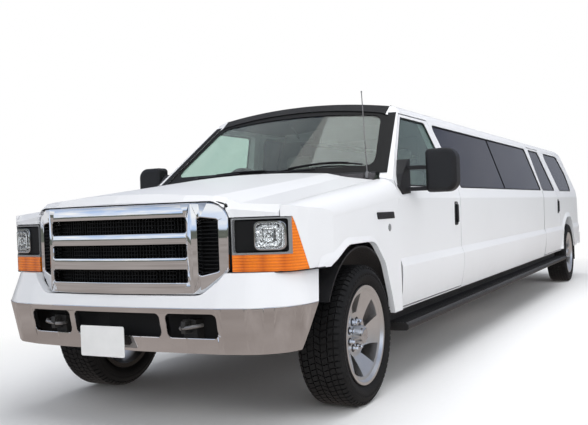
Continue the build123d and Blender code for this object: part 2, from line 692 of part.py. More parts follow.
front_beam = rod_y(front_axle_x, -yoke_y, yoke_y, axle_z, axle_radius)
yoke = block(at(-30), at(30), yoke_y - 12, yoke_y + 6, axle_z - yoke_half - 18, axle_z + yoke_half + 18)
for side in (-1, 1):
    level = axle_z + side * (yoke_half + 9)
    arm = block(at(-30), at(30), yoke_y - 12, kingpin_y, level - 9, level + 9)
    yoke += arm + Pos(front_axle_x, kingpin_y, level) * Cylinder(30, 18)
yoke += rod_z(front_axle_x, kingpin_y, axle_z - yoke_half - 18, axle_z + yoke_half + 18, kingpin_radius)
front_spring = leaf_spring(front_axle_x, rail_inner_y + 5, 640, 560, rail_kick)
front_axle = front_beam + both(yoke) + both(front_spring)

spindle_end = wheel_plane_y + 50
rear_beam = rod_y(rear_axle_x, -spindle_end, spindle_end, axle_z, spindle_radius)
rear_beam += rod_y(rear_axle_x, -(wheel_plane_y - 100), wheel_plane_y - 100, axle_z, axle_radius + 8)
rear_beam += Pos(aft(0), 0, axle_z) * Sphere(165)
rear_spring_y = rail_outer_y + 14
rear_spring = leaf_spring(rear_axle_x, rear_spring_y, 640, 640, rail_kick + 20)
hanger = block(aft(610), aft(640), rail_outer_y, rear_spring_y + spring_width, rail_kick - 4, rail_kick + 40)
hanger += block(aft(-640), aft(-610), rail_outer_y, rear_spring_y + spring_width, rail_kick - 4, rail_kick + 40)
rear_axle = rear_beam + both(rear_spring + hanger)

# Steering knuckles
knuckle_bore = kingpin_radius + 0.4
sleeve_half = yoke_half - 6
knuckle = rod_z(front_axle_x, kingpin_y, axle_z - sleeve_half, axle_z + sleeve_half, 38)
knuckle += rod_y(front_axle_x, kingpin_y, wheel_plane_y - 42, axle_z, 52)
knuckle += rod_y(front_axle_x, kingpin_y, spindle_end, axle_z, spindle_radius)
knuckle += rod_y(front_axle_x, kingpin_y + 45, kingpin_y + 58, axle_z, 168)
knuckle -= rod_z(front_axle_x, kingpin_y, axle_z - 200, axle_z + 200, knuckle_bore)

# Wheels: bowl-spoked rim with swept windows, and a plain carcass
spoke_count = 5
barrel_radius = rim_radius - 13
flange_y = 122
hub_face_y = 66


def ring_of(points):
    return revolve(make_face(Polyline(*[(r, 0, y) for r, y in points], close=True)), axis=Axis.Z)


def swept_window():
    r_low, r_high = 128, barrel_radius - 32
    spread = radians(360 / spoke_count * 0.21)
    sweep = radians(15)

    def spot(radius, angle):
        return (radius * cos(angle), radius * sin(angle), -150)

    low_a, low_b = spot(r_low, -spread * 0.75 - sweep), spot(r_low, spread * 0.75 - sweep)
    high_a, high_b = spot(r_high, -spread * 1.05), spot(r_high, spread * 1.05)
    mid = (r_low + r_high) / 2
    edges = [
        ThreePointArc(low_a, spot(mid, -spread - sweep * 0.25), high_a),
        ThreePointArc(high_a, spot(r_high, 0), high_b),
        ThreePointArc(high_b, spot(mid, spread - sweep * 0.25), low_b),
        ThreePointArc(low_b, spot(r_low, -sweep), low_a),
    ]
    return extrude(make_face(edges), amount=400, dir=(0, 0, 1))


barrel_inner = barrel_radius - 15
barrel = ring_of([(barrel_inner, -flange_y), (rim_radius, -flange_y), (rim_radius, -110), (barrel_radius, -106),
                  (barrel_radius, 106), (rim_radius, 110), (rim_radius, flange_y), (rim_radius - 15, flange_y),
                  (barrel_inner, 104)])
bowl = ring_of([(hub_bore_radius, -24), (98, -24), (110, 24), (barrel_inner - 1, 64), (barrel_inner + 1, 104), (barrel_inner - 15, 100), (125, hub_face_y - 12),
                (105, hub_face_y - 16), (100, hub_face_y - 16), (52, hub_face_y - 16), (48, 112), (0.0, 116), (0.0, 60),
                (hub_bore_radius, 60)])
window = swept_window()
for index in range(spoke_count):
    bowl -= Rot(0, 0, 360 / spoke_count * index) * window
rim_local = barrel + bowl
tyre_half = tyre_width / 2
tyre_profile = ((barrel_radius + 0.5, 104), (rim_radius + 4, 108), (rim_radius + 42, tyre_half),
                (tyre_radius - 33, tyre_half - 4), (tyre_radius - 9, tyre_half - 18), (tyre_radius, tyre_half - 40))
tyre_local = ring_of([(r, -y) for r, y in tyre_profile] + list(reversed(tyre_profile)))


def wheel_at(shape, x):
    return Pos(x, wheel_plane_y, axle_z) * Rot(-90, 0, 0) * shape


# Running boards on brackets under the sills
board_front = at(-560)
board_rear = aft(600)
board_section = [(872, 345), (872, 388), (1030, 388), (1044, 376), (1044, 352), (1030, 345)]
board = front_block(board_section, board_rear, board_front)
board += block(board_rear, board_front, 872, 889, 386, rocker_z - 10)
board += block(board_rear, board_front, 840, 889, rocker_z - 24, rocker_z - 10)

# Rear bumper and tail lamps
def rear_plan(inset, z_from, z_to):
    half = [(-overall_length / 2, 880), (aft(tail_x - 70), 975), (aft(tail_x), 994), (aft(-500), 994)]
    return rounded_plan(half, inset, z_from, z_to, 40)


rear_bumper = rear_plan(0, 486, bumper_high_z) & block(-overall_length, bumper_wrap_x, -1100, 1100, 400, 700)
rear_bumper -= block(aft(tail_x - 20), 0, -950, 950, 400, 700)
bumper_post = block(aft(tail_x - 22), aft(tail_x + 40), rail_inner_y, rail_outer_y, rail_kick + 4, rail_top - 4)
rear_bumper += both(bumper_post)
lamp_corner = block(aft(tail_x - 1), aft(tail_x + 96), 914, 1010, 900, 1245)
tail_lamp = side_left & lamp_corner
side_left -= lamp_corner

# Mirrors on two arms from the door corner
mirror_head = block(at(-995), at(-865), 1088, 1298, 1215, 1505)
mirror_head = fillet(mirror_head.edges().filter_by(Axis.X).sort_by(Axis.Y)[-2:], 74)
mirror_head = fillet(mirror_head.edges(), 30)
sail = side_block([(at(-640), 1258), (at(-700), 1340), (at(-815), 1440), (at(-850), 1440), (at(-850), 1215), (at(-700), 1205)],
                  840, 992)
mirror_left = mirror_head + sail
for level in (1241, 1382):
    mirror_left += plan_block([(at(-790), 900), (at(-925), 1105), (at(-890), 1120), (at(-755), 915)], level - 13, level + 13)
mirror_left -= outer
mirror_left = max(mirror_left.solids(), key=lambda piece: piece.volume)

# Engine and gearbox block, shaft, tank and silencer
engine = block(at(-470), at(420), -270, 270, 530, 1090) + block(at(-1300), at(-460), -150, 150, 400, rail_top - 14)
engine += block(at(-60), at(60), -rail_inner_y, rail_inner_y, rail_kick + 20, rail_top - 14)
shaft_z = 430
shaft = rod_x(aft(150), at(-1302), 0, shaft_z, 40)
shaft -= Pos(aft(0), 0, axle_z) * Sphere(166)
tank = fillet(block(at(-4300), at(-3000), 500, 800, 350, rail_top).edges(), 30)
silencer = rod_x(at(-2900), at(-2000), -620, 470, 90) + rod_x(aft(900), at(-900), -620, 470, 32)
for x in (at(-1200), at(-2450), at(-4000), at(-5200)):
    silencer += block(x - 15, x + 15, -635, -605, 470, rail_top)
radiator = block(at(740), at(795), -430, 430, rail_top, 1085)
support = block(at(795), at(812), -640, 640, rail_top, 1090) - block(at(700), at(900), -420, 420, 720, 1060)
radiator += support
lamp_tie = block(at(765), at(808), 630, 646, 935, 1060)
grille_post = block(at(800), at(900), 560, 626, 850, 1070) & grille_plan(48, 700, 1200)
radiator += both(lamp_tie)
radiator += both(grille_post)
grille_mesh -= radiator

# Cabin fittings
dash_points = [(at(-585), 900), (at(-585), 1300), (at(-700), 1310), (at(-960), 1270), (at(-1010), 1180), (at(-960), 940)]
dashboard = side_block(dash_points, -850, 850, 15)
wheel_centre = (at(-1120), -430, 1285)
steering_wheel = Pos(*wheel_centre) * Rot(0, -65, 0) * (Torus(185, 15) + Cylinder(45, 30) + Box(24, 370, 12) + Box(370, 24, 12))
steering_wheel += Pos(*wheel_centre) * Rot(0, -65, 0) * Pos(0, 0, -150) * Cylinder(28, 300)
steering_wheel -= dashboard
seat_low = floor_top_z
seat = fillet(block(at(-1900), at(-1380), 200, 720, seat_low, 960).edges(), 40)
seat_back = side_block([(at(-1850), 900), (at(-1980), 1420), (at(-2110), 1420), (at(-1990), 900)], 200, 720, 30)
seat += seat_back + side_block([(at(-2010), 1400), (at(-2040), 1600), (at(-2120), 1600), (at(-2100), 1400)], 340, 580, 20)
bench = block(aft(2050), at(-2800), -868, -350, seat_low, 1020) + block(aft(2050), at(-2800), -868, -760, 1000, 1240)
rear_bench = block(aft(-560), aft(-20), -530, 530, seat_low, 1020) + block(aft(-700), aft(-560), -530, 530, seat_low, 1420)
partition_x = at(-2330)
partition = extrude(offset(cabin_inner(partition_x), -4, kind=Kind.INTERSECTION), amount=36, dir=(1, 0, 0))
partition &= block(partition_x - 100, partition_x + 100, -900, 900, floor_top_z, 1850)
partition -= block(partition_x - 100, partition_x + 100, -560, 560, 1300, 1720)

pieces = {
    "side_left": side_left, "side_right": other_side(side_left),
    "roof_top": roof_top, "windshield": windshield,
    "side_glass": [*both(stretch_panes), *both(quarter_pane)],
    "floor_pan": floor_pan, "bulkhead": bulkhead,
    "fender_left": fender_left, "fender_right": other_side(fender_left),
    "wheel_liners": both(liner), "hood": hood, "grille": grille, "radiator": radiator, "grille_mesh": grille_mesh,
    "bumper_beam": beam, "bumper_cover": cover,
    "headlamp_housings": both(headlamp), "headlamp_lenses": both(lens), "turn_lamps": both(turn_lamp),
    "door_front_left": door_front_left, "door_front_right": other_side(door_front_left),
    "door_rear_left": door_rear_left, "door_rear_right": other_side(door_rear_left),
    "glass_front_left": front_door_pane, "glass_front_right": other_side(front_door_pane),
    "glass_rear_left": rear_door_pane, "glass_rear_right": other_side(rear_door_pane),
    "mirror_left": mirror_left, "mirror_right": other_side(mirror_left),
    "lift_glass": lift_glass, "cargo_door_left": cargo_door_left, "cargo_door_right": other_side(cargo_door_left),
    "rear_bumper": rear_bumper, "tail_lamps": both(tail_lamp), "running_boards": both(board),
    "frame_rails": both(rail), "cross_members": cross_members, "front_axle": front_axle, "rear_axle": rear_axle,
    "knuckle_left": knuckle, "knuckle_right": other_side(knuckle),
    "engine": engine, "drive_shaft": shaft, "fuel_tank": tank, "exhaust": silencer,
    "dashboard": dashboard, "steering_wheel": steering_wheel, "front_seats": both(seat),
    "lounge_seats": [bench, rear_bench], "partition": partition,
}
corners = (("front", front_axle_x), ("rear", rear_axle_x))
for corner, x in corners:
    pieces[f"rim_{corner}_left"] = wheel_at(rim_local, x)
    pieces[f"rim_{corner}_right"] = other_side(wheel_at(rim_local, x))
    pieces[f"tyre_{corner}_left"] = wheel_at(tyre_local, x)
    pieces[f"tyre_{corner}_right"] = other_side(wheel_at(tyre_local, x))
for name, shape in pieces.items():
    found = solids_of(shape)
    print(name, len(found), [round(s.volume / 1e6, 2) for s in found][:6])
    save(name, shape)
print(len(pieces))
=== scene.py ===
from functools import partialmethod
from math import cos, pi, radians, sin, sqrt

import bmesh
import bpy
from mathutils import Matrix, Vector
from mathutils.bvhtree import BVHTree


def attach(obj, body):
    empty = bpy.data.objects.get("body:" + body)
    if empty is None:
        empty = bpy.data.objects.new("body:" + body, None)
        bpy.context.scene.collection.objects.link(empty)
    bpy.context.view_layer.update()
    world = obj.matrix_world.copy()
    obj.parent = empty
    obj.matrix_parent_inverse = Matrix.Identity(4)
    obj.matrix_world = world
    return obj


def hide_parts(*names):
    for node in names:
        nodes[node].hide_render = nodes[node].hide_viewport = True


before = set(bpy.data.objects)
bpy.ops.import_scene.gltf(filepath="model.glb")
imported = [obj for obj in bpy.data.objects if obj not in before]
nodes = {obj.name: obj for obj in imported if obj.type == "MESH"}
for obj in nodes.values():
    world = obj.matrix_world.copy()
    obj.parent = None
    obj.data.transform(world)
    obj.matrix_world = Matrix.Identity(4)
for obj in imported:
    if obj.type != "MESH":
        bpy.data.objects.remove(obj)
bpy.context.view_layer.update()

scene = bpy.context.scene

# Places in metres, as the solids have them; stations are given from the front and rear axles
FRONT_AXLE, REAR_AXLE = 3.840, -3.660
WHEEL_Y, WHEEL_Z = 0.868, 0.401
SILL_Y, SILL_Z = 0.972, 1.270
RAIL_Y, RAIL_Z = 0.785, 1.800
LEAN = (SILL_Y - RAIL_Y) / (RAIL_Z - SILL_Z)
PANE_LOW, PANE_TOP, PANE_INSET = 1.262, 1.775, 0.010
DOOR_LOW, DOOR_TOP = 0.482, 1.795
LAMP_Y, LAMP_Z = 0.832, 1.007
FLOOR_TOP = 0.641
TAIL_X = -1.065
SIDES = (("left", 1), ("right", -1))
# Half width of the body side by height
WALL = ((0.465, 0.968), (0.610, 0.999), (0.742, 1.007), (0.794, 0.986), (1.180, 0.991), (SILL_Z, SILL_Y),
        (RAIL_Z, RAIL_Y), (1.868, 0.700))
# Front of the sheet metal, ahead of the axle, by half width
NOSE = ((0.0, 0.968), (0.420, 0.945), (0.590, 0.905), (0.640, 0.858), (0.890, 0.800), (0.940, 0.740),
        (0.965, 0.640))


def at(x):
    return FRONT_AXLE + x


def aft(x):
    return REAR_AXLE + x


def read_off(table, value):
    """Straight-line reading between the rows of a table."""
    for (low, first), (high, second) in zip(table, table[1:]):
        if value <= high:
            return first + (second - first) * (value - low) / (high - low)
    return table[-1][1]


def wall_y(z):
    return read_off(WALL, z)


def nose_x(y):
    return at(read_off(NOSE, abs(y)))


def windshield_x(y, z):
    bow_radius = 2.9
    bow = bow_radius - sqrt(bow_radius ** 2 - y ** 2)
    return at(-0.550) - bow - (z - 1.388) * 0.579 / 0.422


# Shader effects shared by the finishes
GREY = (0.5, 0.5, 0.5, 1)
WHITE = (1, 1, 1, 1)


class Graph:
    """Short names for the nodes of one shader tree."""

    def __init__(self, tree):
        self.tree = tree

    def link(self, source, socket):
        if isinstance(source, (int, float, tuple)):
            socket.default_value = source
        else:
            self.tree.links.new(source, socket)

    def node(self, kind, links=None, **values):
        made = self.tree.nodes.new("ShaderNode" + kind)
        for key, value in values.items():
            setattr(made, key, value)
        for key, source in (links or {}).items():
            self.link(source, made.inputs[key])
        return made

    def spot(self):
        return self.node("TexCoord").outputs["Object"]

    def spot_along(self, axis):
        return self.node("SeparateXYZ", {"Vector": self.spot()}).outputs[axis]

    def noise(self, scale, detail=3.0, rough=0.55, vector=None):
        place = self.spot() if vector is None else vector
        made = self.node("TexNoise", {"Vector": place, "Scale": scale, "Detail": detail, "Roughness": rough})
        return made.outputs["Fac"]

    def spread(self, value, low, high, to_low=0.0, to_high=1.0):
        return self.node("MapRange", {"Value": value, "From Min": low, "From Max": high, "To Min": to_low,
                                      "To Max": to_high}).outputs["Result"]

    def mix(self, factor, first, second, blend="MIX"):
        return self.node("Mix", {0: factor, 6: first, 7: second}, data_type="RGBA", blend_type=blend).outputs[2]

    def maths(self, operation, first, second=0.0):
        return self.node("Math", {0: first, 1: second}, operation=operation).outputs[0]

    add = partialmethod(maths, "ADD")
    sub = partialmethod(maths, "SUBTRACT")
    mul = partialmethod(maths, "MULTIPLY")

    def vector(self, operation, links, result=0):
        return self.node("VectorMath", links, operation=operation).outputs[result]

    def looked_at(self):
        """One for rays of the camera, through glass and off bright metal."""
        seen = self.node("LightPath").outputs
        look = self.maths("MAXIMUM", seen["Is Camera Ray"], seen["Is Transmission Ray"])
        return self.maths("MAXIMUM", look, seen["Is Glossy Ray"])


def effect(name, inputs, outputs):
    tree = bpy.data.node_groups.new(name, "ShaderNodeTree")
    for label, value in inputs.items():
        kind = "NodeSocketColor" if isinstance(value, tuple) else "NodeSocketFloat"
        tree.interface.new_socket(label, in_out="INPUT", socket_type=kind).default_value = value
    for label, kind in outputs.items():
        tree.interface.new_socket(label, in_out="OUTPUT", socket_type="NodeSocket" + kind)
    return Graph(tree), tree.nodes.new("NodeGroupInput").outputs, tree.nodes.new("NodeGroupOutput").inputs


def make_mottle():
    """Slow drift of a colour with a fine fleck over it."""
    g, given, out = effect("mottle", {"Colour": GREY, "Scale": 4.0, "Fleck Scale": 300.0, "Amount": 0.1,
                                      "Roughness": 0.5, "Roughness Drift": 0.1},
                           {"Colour": "Color", "Roughness": "Float"})
    slow = g.noise(given["Scale"])
    fleck = g.noise(given["Fleck Scale"], 1.0)
    mask = g.spread(g.add(g.mul(slow, 0.65), g.mul(fleck, 0.35)), 0.32, 0.68)
    light = g.add(g.mul(g.sub(mask, 0.5), given["Amount"]), 1.0)
    tone = g.node("CombineColor", {"Red": light, "Green": light, "Blue": light}).outputs[0]
    g.link(g.mix(1.0, given["Colour"], tone, "MULTIPLY"), out["Colour"])
    drift = g.mul(g.sub(slow, 0.5), given["Roughness Drift"])
    g.link(g.add(drift, given["Roughness"]), out["Roughness"])
    return g.tree


def make_road_film():
    """Pale road dirt, thickest low down and broken up by spray."""
    g, given, out = effect("road film", {"Colour": GREY, "Film": (0.3, 0.27, 0.23, 1), "Top": 0.8, "Amount": 0.3},
                           {"Colour": "Color"})
    fade = g.sub(1.0, g.maths("DIVIDE", g.spot_along("Z"), given["Top"]))
    spray = g.spread(g.noise(9.0, 6.0, 0.7), 0.3, 0.75)
    speck = g.spread(g.noise(140.0, 2.0), 0.42, 0.7)
    cover = g.mul(g.maths("MAXIMUM", fade, 0.0), g.add(spray, speck))
    mask = g.node("Math", {0: cover, 1: given["Amount"]}, operation="MULTIPLY", use_clamp=True).outputs[0]
    g.link(g.mix(mask, given["Colour"], given["Film"]), out["Colour"])
    return g.tree


def make_moulded_grain():
    """Pebbled surface of moulded plastic, vinyl and rubber."""
    g, given, out = effect("moulded grain", {"Scale": 400.0, "Crease": 0.5}, {"Height": "Float"})
    cells = g.node("TexVoronoi", {"Vector": g.spot(), "Scale": given["Scale"]}, feature="DISTANCE_TO_EDGE")
    pebble = g.spread(cells.outputs["Distance"], 0.0, 0.35)
    soft = g.noise(g.mul(given["Scale"], 0.4), 2.0)
    g.link(g.add(g.mul(pebble, given["Crease"]), g.mul(soft, 0.5)), out["Height"])
    return g.tree


def make_hide_creases():
    """Leather pores with long soft creases."""
    g, given, out = effect("hide creases", {"Scale": 160.0, "Colour": (0.3, 0.3, 0.3, 1), "Worn": (0.4, 0.4, 0.4, 1)},
                           {"Height": "Float", "Colour": "Color"})
    place = g.spot()
    bent = g.node("TexNoise", {"Vector": place, "Scale": 7.0, "Detail": 4.0, "Roughness": 0.55}).outputs
    warped = g.vector("ADD", {0: place, 1: g.vector("SCALE", {0: bent["Color"], "Scale": 0.06})})
    pores = g.node("TexVoronoi", {"Vector": warped, "Scale": given["Scale"]}, feature="DISTANCE_TO_EDGE")
    pore = g.spread(pores.outputs["Distance"], 0.0, 0.25)
    fold = g.spread(g.noise(14.0, 5.0, 0.7, warped), 0.35, 0.6)
    g.link(g.add(g.mul(pore, 0.4), fold), out["Height"])
    wear = g.spread(bent["Fac"], 0.45, 0.7, 0.0, 0.6)
    g.link(g.mix(wear, given["Colour"], given["Worn"]), out["Colour"])
    return g.tree


def make_lens_ribs():
    """Upright and level ribs pressed into lamp lenses."""
    g, given, out = effect("lens ribs", {"Upright": 60.0, "Level": 60.0}, {"Height": "Float", "Mask": "Float"})
    waves = [g.maths("ABSOLUTE", g.maths("SINE", g.mul(g.spot_along(axis), g.mul(given[label], 2 * pi))))
             for axis, label in (("Y", "Upright"), ("Z", "Level"))]
    both = g.add(*waves)
    g.link(both, out["Height"])
    g.link(g.spread(both, 0.0, 2.0), out["Mask"])
    return g.tree


def make_crowned_face():
    """Flat pressing that turns up above a height and down below it, as a crowned one does."""
    g, given, out = effect("crowned face", {"Middle": 1.0, "Amount": 0.5}, {"Normal": "Vector"})
    lift = g.mul(g.sub(g.spot_along("Z"), given["Middle"]), given["Amount"])
    face = g.node("NewGeometry").outputs["Normal"]
    tipped = g.vector("ADD", {0: face, 1: g.node("CombineXYZ", {"Z": lift}).outputs[0]})
    g.link(g.vector("NORMALIZE", {0: tipped}), out["Normal"])
    return g.tree


MOTTLE = make_mottle()
ROAD_FILM = make_road_film()
MOULDED_GRAIN = make_moulded_grain()
HIDE_CREASES = make_hide_creases()
LENS_RIBS = make_lens_ribs()
CROWNED_FACE = make_crowned_face()


# Finishes
class Finish(Graph):
    """One material with its Principled shader at hand."""

    def __init__(self, name, **sockets):
        self.material = bpy.data.materials.new(name)
        self.material.use_nodes = True
        super().__init__(self.material.node_tree)
        self.shader = self.tree.nodes["Principled BSDF"]
        for label, value in sockets.items():
            self.feed(label.replace("_", " "), value)

    def feed(self, label, source):
        self.link(source, self.shader.inputs[label])

    def apply(self, group, **values):
        made = self.node("Group", node_tree=group)
        for label, value in values.items():
            self.link(value, made.inputs[label.replace("_", " ")])
        return made.outputs

    def bump(self, height, depth, strength=1.0):
        made = self.node("Bump", {"Height": height, "Distance": depth, "Strength": strength})
        self.feed("Normal", made.outputs["Normal"])

    def mottled(self, colour, rough, scale, fleck, amount, drift):
        base = (*colour, 1) if isinstance(colour, tuple) else colour
        made = self.apply(MOTTLE, Colour=base, Scale=scale, Fleck_Scale=fleck, Amount=amount, Roughness=rough,
                          Roughness_Drift=drift)
        self.feed("Roughness", made["Roughness"])
        self.feed("Base Color", made["Colour"])
        return made["Colour"]

    def filmed(self, colour, top, amount, film=(0.30, 0.27, 0.23)):
        made = self.apply(ROAD_FILM, Colour=colour, Film=(*film, 1), Top=top, Amount=amount)
        self.feed("Base Color", made["Colour"])

    def grained(self, scale, depth, crease=0.5):
        self.bump(self.apply(MOULDED_GRAIN, Scale=scale, Crease=crease)["Height"], depth)


def plain(name, mottle, film=None, grain=None, crown=None, **sockets):
    """Mottled finish, with road film, moulded grain or a crowned face where given."""
    f = Finish(name, **sockets)
    base = f.mottled(*mottle)
    if film:
        f.filmed(base, *film)
    if grain:
        f.grained(*grain)
    if crown:
        f.feed("Normal", f.apply(CROWNED_FACE, Middle=crown[0], Amount=crown[1])["Normal"])
    return f


def white_paint():
    f = plain("white paint", ((0.77, 0.775, 0.79), 0.36, 1.6, 900.0, 0.03, 0.08), film=(0.75, 0.16),
              Coat_Weight=0.30, Coat_Roughness=0.16, Specular_IOR_Level=0.35)
    f.bump(f.noise(260.0, 1.0), 0.0002, 0.35)
    return f


def polished_alloy():
    """Bright spoke faces, with painted shade deeper in the wheel: the barrel inboard of the spoke faces is mixed to
    near black.
    """
    f = Finish("polished alloy", Metallic=1.0)
    base = f.mottled((0.93, 0.93, 0.92), 0.32, 14.0, 700.0, 0.08, 0.12)
    across = f.maths("ABSOLUTE", f.spot_along("Y"))
    # Painted shade: inboard of the spoke faces the barrel is darkened to near black, standing in for the shade inside
    # the wheel.
    barrel_shaded = f.mix(f.spread(across, 0.80, 0.885), (0.035, 0.033, 0.031, 1), base)
    f.filmed(barrel_shaded, 0.9, 0.08, (0.22, 0.20, 0.18))
    return f


def glass(name, mottle, index, clear=1.0):
    return plain(name, mottle, Transmission_Weight=clear, IOR=index, Metallic=0.0)


def lamp_glass():
    f = glass("lamp glass", ((0.93, 0.95, 0.96), 0.03, 6.0, 200.0, 0.05, 0.02), 1.45)
    f.bump(f.apply(LENS_RIBS, Upright=28.0, Level=22.0)["Height"], 0.003, 0.6)
    return f


def amber_lens():
    f = Finish("amber lens", Coat_Weight=0.45, Coat_Roughness=0.04, IOR=1.4)
    ribs = f.apply(LENS_RIBS, Upright=5.0, Level=34.0)
    base = f.mottled((0.88, 0.215, 0.006), 0.22, 12.0, 120.0, 0.25, 0.1)
    f.feed("Base Color", f.mix(ribs["Mask"], (0.46, 0.075, 0.002, 1), base))
    f.bump(ribs["Height"], 0.003, 0.45)
    return f


def red_lens():
    """Red above and below, with a clear reversing band across the middle."""
    f = Finish("tail lens", Coat_Weight=1.0, Coat_Roughness=0.04, IOR=1.49)
    ribs = f.apply(LENS_RIBS, Upright=40.0, Level=60.0)
    base = f.mottled((0.46, 0.012, 0.010), 0.2, 12.0, 120.0, 0.3, 0.1)
    height = f.spot_along("Z")
    inside = f.mul(f.maths("GREATER_THAN", height, 0.985), f.maths("LESS_THAN", height, 1.075))
    band_tone = f.mix(inside, base, (0.70, 0.69, 0.66, 1))
    f.feed("Base Color", f.mix(f.mul(ribs["Mask"], 0.35), band_tone, (0.9, 0.6, 0.55, 1)))
    f.bump(ribs["Height"], 0.002, 0.6)
    return f


def reflector():
    f = plain("lamp reflector", ((0.86, 0.87, 0.88), 0.1, 20.0, 200.0, 0.15, 0.1), Metallic=1.0)
    f.bump(f.node("TexVoronoi", {"Vector": f.spot(), "Scale": 55.0}).outputs["Distance"], 0.004, 0.7)
    return f


def floor_carpet():
    """Carpet above the floor sheet, coated steel below it."""
    f = Finish("floor carpet and coating")
    base = f.mottled((0.030, 0.030, 0.032), 0.7, 5.0, 700.0, 0.6, 0.2)
    tuft = f.noise(420.0)
    pile = f.mix(f.spread(tuft, 0.35, 0.65), (0.045, 0.042, 0.045, 1), (0.10, 0.095, 0.10, 1))
    f.feed("Base Color", f.mix(f.maths("GREATER_THAN", f.spot_along("Z"), 0.636), base, pile))
    f.bump(tuft, 0.002)
    return f


def soft_trim(name, colour):
    return plain(name, (colour, 0.6, 5.0, 400.0, 0.2, 0.15), grain=(620.0, 0.0006))


def seat_hide():
    f = Finish("grey seat hide", Specular_IOR_Level=0.4)
    hide = f.apply(HIDE_CREASES, Scale=190.0, Colour=(0.20, 0.195, 0.19, 1), Worn=(0.27, 0.26, 0.25, 1))
    f.mottled(hide["Colour"], 0.5, 6.0, 300.0, 0.15, 0.2)
    f.bump(hide["Height"], 0.0012)
    return f


# Mottle: colour, roughness, scale, fleck scale, amount, roughness drift. Film: top, amount, colour.
# Grain: scale, depth, crease. Crown: middle height, amount.
PAINT = white_paint()
VINYL = plain("grained vinyl roof", ((0.026, 0.026, 0.027), 0.60, 3.0, 500.0, 0.5, 0.2),
              grain=(520.0, 0.0008, 0.8), Specular_IOR_Level=0.22)
PLATING = plain("bright plating", ((0.80, 0.81, 0.83), 0.06, 5.0, 700.0, 0.06, 0.08), Metallic=1.0)
GRILLE_PLATING = plain("grille plating", ((0.88, 0.89, 0.90), 0.04, 5.0, 700.0, 0.04, 0.04),
                       crown=(1.005, 0.85), Metallic=1.0)
LOW_PLATING = plain("bumper plating", ((0.80, 0.78, 0.77), 0.07, 4.0, 500.0, 0.06, 0.06),
                    film=(0.62, 0.14, (0.40, 0.36, 0.34)), crown=(0.575, 0.9), Metallic=1.0)
PLASTIC = plain("grained black plastic", ((0.012, 0.012, 0.013), 0.42, 5.0, 500.0, 0.5, 0.2),
                film=(0.62, 0.10), grain=(700.0, 0.0005), Specular_IOR_Level=0.4)
RUBBER = plain("tyre rubber", ((0.009, 0.009, 0.0095), 0.60, 6.0, 260.0, 0.5, 0.2),
               film=(1.0, 0.05, (0.12, 0.11, 0.10)), grain=(900.0, 0.0003), Specular_IOR_Level=0.2)
GASKET = plain("gasket rubber", ((0.008, 0.008, 0.008), 0.5, 8.0, 400.0, 0.5, 0.2),
               grain=(1200.0, 0.0002), Specular_IOR_Level=0.22)
ALLOY = polished_alloy()
CLEAR = glass("light green glass", ((0.80, 0.92, 0.87), 0.015, 2.0, 60.0, 0.05, 0.02), 1.5)
DARK = glass("dark side glass", ((0.036, 0.036, 0.050), 0.03, 1.5, 60.0, 0.25, 0.03), 1.32, clear=0.5)
DOOR_GLASS = glass("tinted door glass", ((0.50, 0.66, 0.59), 0.015, 2.0, 60.0, 0.05, 0.02), 1.42)
LAMP_GLASS = lamp_glass()
AMBER = amber_lens()
RED = red_lens()
BEZEL = plain("lamp bezel", ((0.20, 0.205, 0.21), 0.35, 9.0, 500.0, 0.25, 0.15), Coat_Weight=0.5,
              Coat_Roughness=0.1)
REFLECTOR = reflector()
FRAME_BLACK = plain("frame coating", ((0.014, 0.0135, 0.013), 0.62, 7.0, 220.0, 0.6, 0.25),
                    film=(0.9, 0.08), grain=(180.0, 0.0008, 0.3))
CAST = plain("cast metal", ((0.16, 0.155, 0.15), 0.6, 9.0, 160.0, 0.5, 0.25), grain=(260.0, 0.001),
             Metallic=0.7)
STEEL = plain("dull steel", ((0.34, 0.33, 0.32), 0.42, 7.0, 240.0, 0.4, 0.3), film=(0.9, 0.2),
              Metallic=0.9)
BRAKE = plain("brake iron", ((0.36, 0.35, 0.34), 0.32, 30.0, 420.0, 0.4, 0.25), Metallic=1.0)
CARPET = floor_carpet()
DASH = soft_trim("dash moulding", (0.050, 0.050, 0.054))
PARTITION = soft_trim("partition trim", (0.095, 0.088, 0.088))
HIDE = seat_hide()
PLATE = plain("blank plate enamel", ((0.78, 0.78, 0.77), 0.4, 12.0, 600.0, 0.08, 0.1),
              Coat_Weight=0.4, Coat_Roughness=0.1)


def pairs(*names):
    return [f"{name}_{side}" for name in names for side, _ in SIDES]


node_finish = {
    PAINT: ["hood", "bumper_cover", "rear_bumper", *pairs("side", "fender", "door_front", "door_rear", "cargo_door")],
    VINYL: ["roof_top"], CLEAR: ["windshield"], DOOR_GLASS: pairs("glass_front"),
    DARK: ["side_glass", "lift_glass", *pairs("glass_rear")],
    CARPET: ["floor_pan", "bulkhead"], GRILLE_PLATING: ["grille"], LOW_PLATING: ["bumper_beam"],
    PLASTIC: ["radiator", "grille_mesh", "running_boards", "wheel_liners", *pairs("mirror")],
    BEZEL: ["headlamp_housings"], LAMP_GLASS: ["headlamp_lenses"], AMBER: ["turn_lamps"], RED: ["tail_lamps"],
    FRAME_BLACK: ["frame_rails", "cross_members", "front_axle", "rear_axle", "drive_shaft", *pairs("knuckle")],
    CAST: ["engine"], STEEL: ["fuel_tank", "exhaust"], DASH: ["dashboard", "steering_wheel"],
    PARTITION: ["partition"], HIDE: ["front_seats", "lounge_seats"],
    ALLOY: pairs("rim_front", "rim_rear"), RUBBER: pairs("tyre_front", "tyre_rear"),
}
edge_radius = {"bumper_beam": 0.004, "grille": 0.006, "rear_bumper": 0.010, "cargo_door_left": 0.006,
               "cargo_door_right": 0.006, "running_boards": 0.006, "dashboard": 0.010, "headlamp_housings": 0.003}


def ease_edges(piece, width, angle):
    ease = piece.modifiers.new("eased edges", "BEVEL")
    ease.width = width
    ease.segments = 2
    ease.limit_method = "ANGLE"
    ease.angle_limit = radians(angle)
    return ease


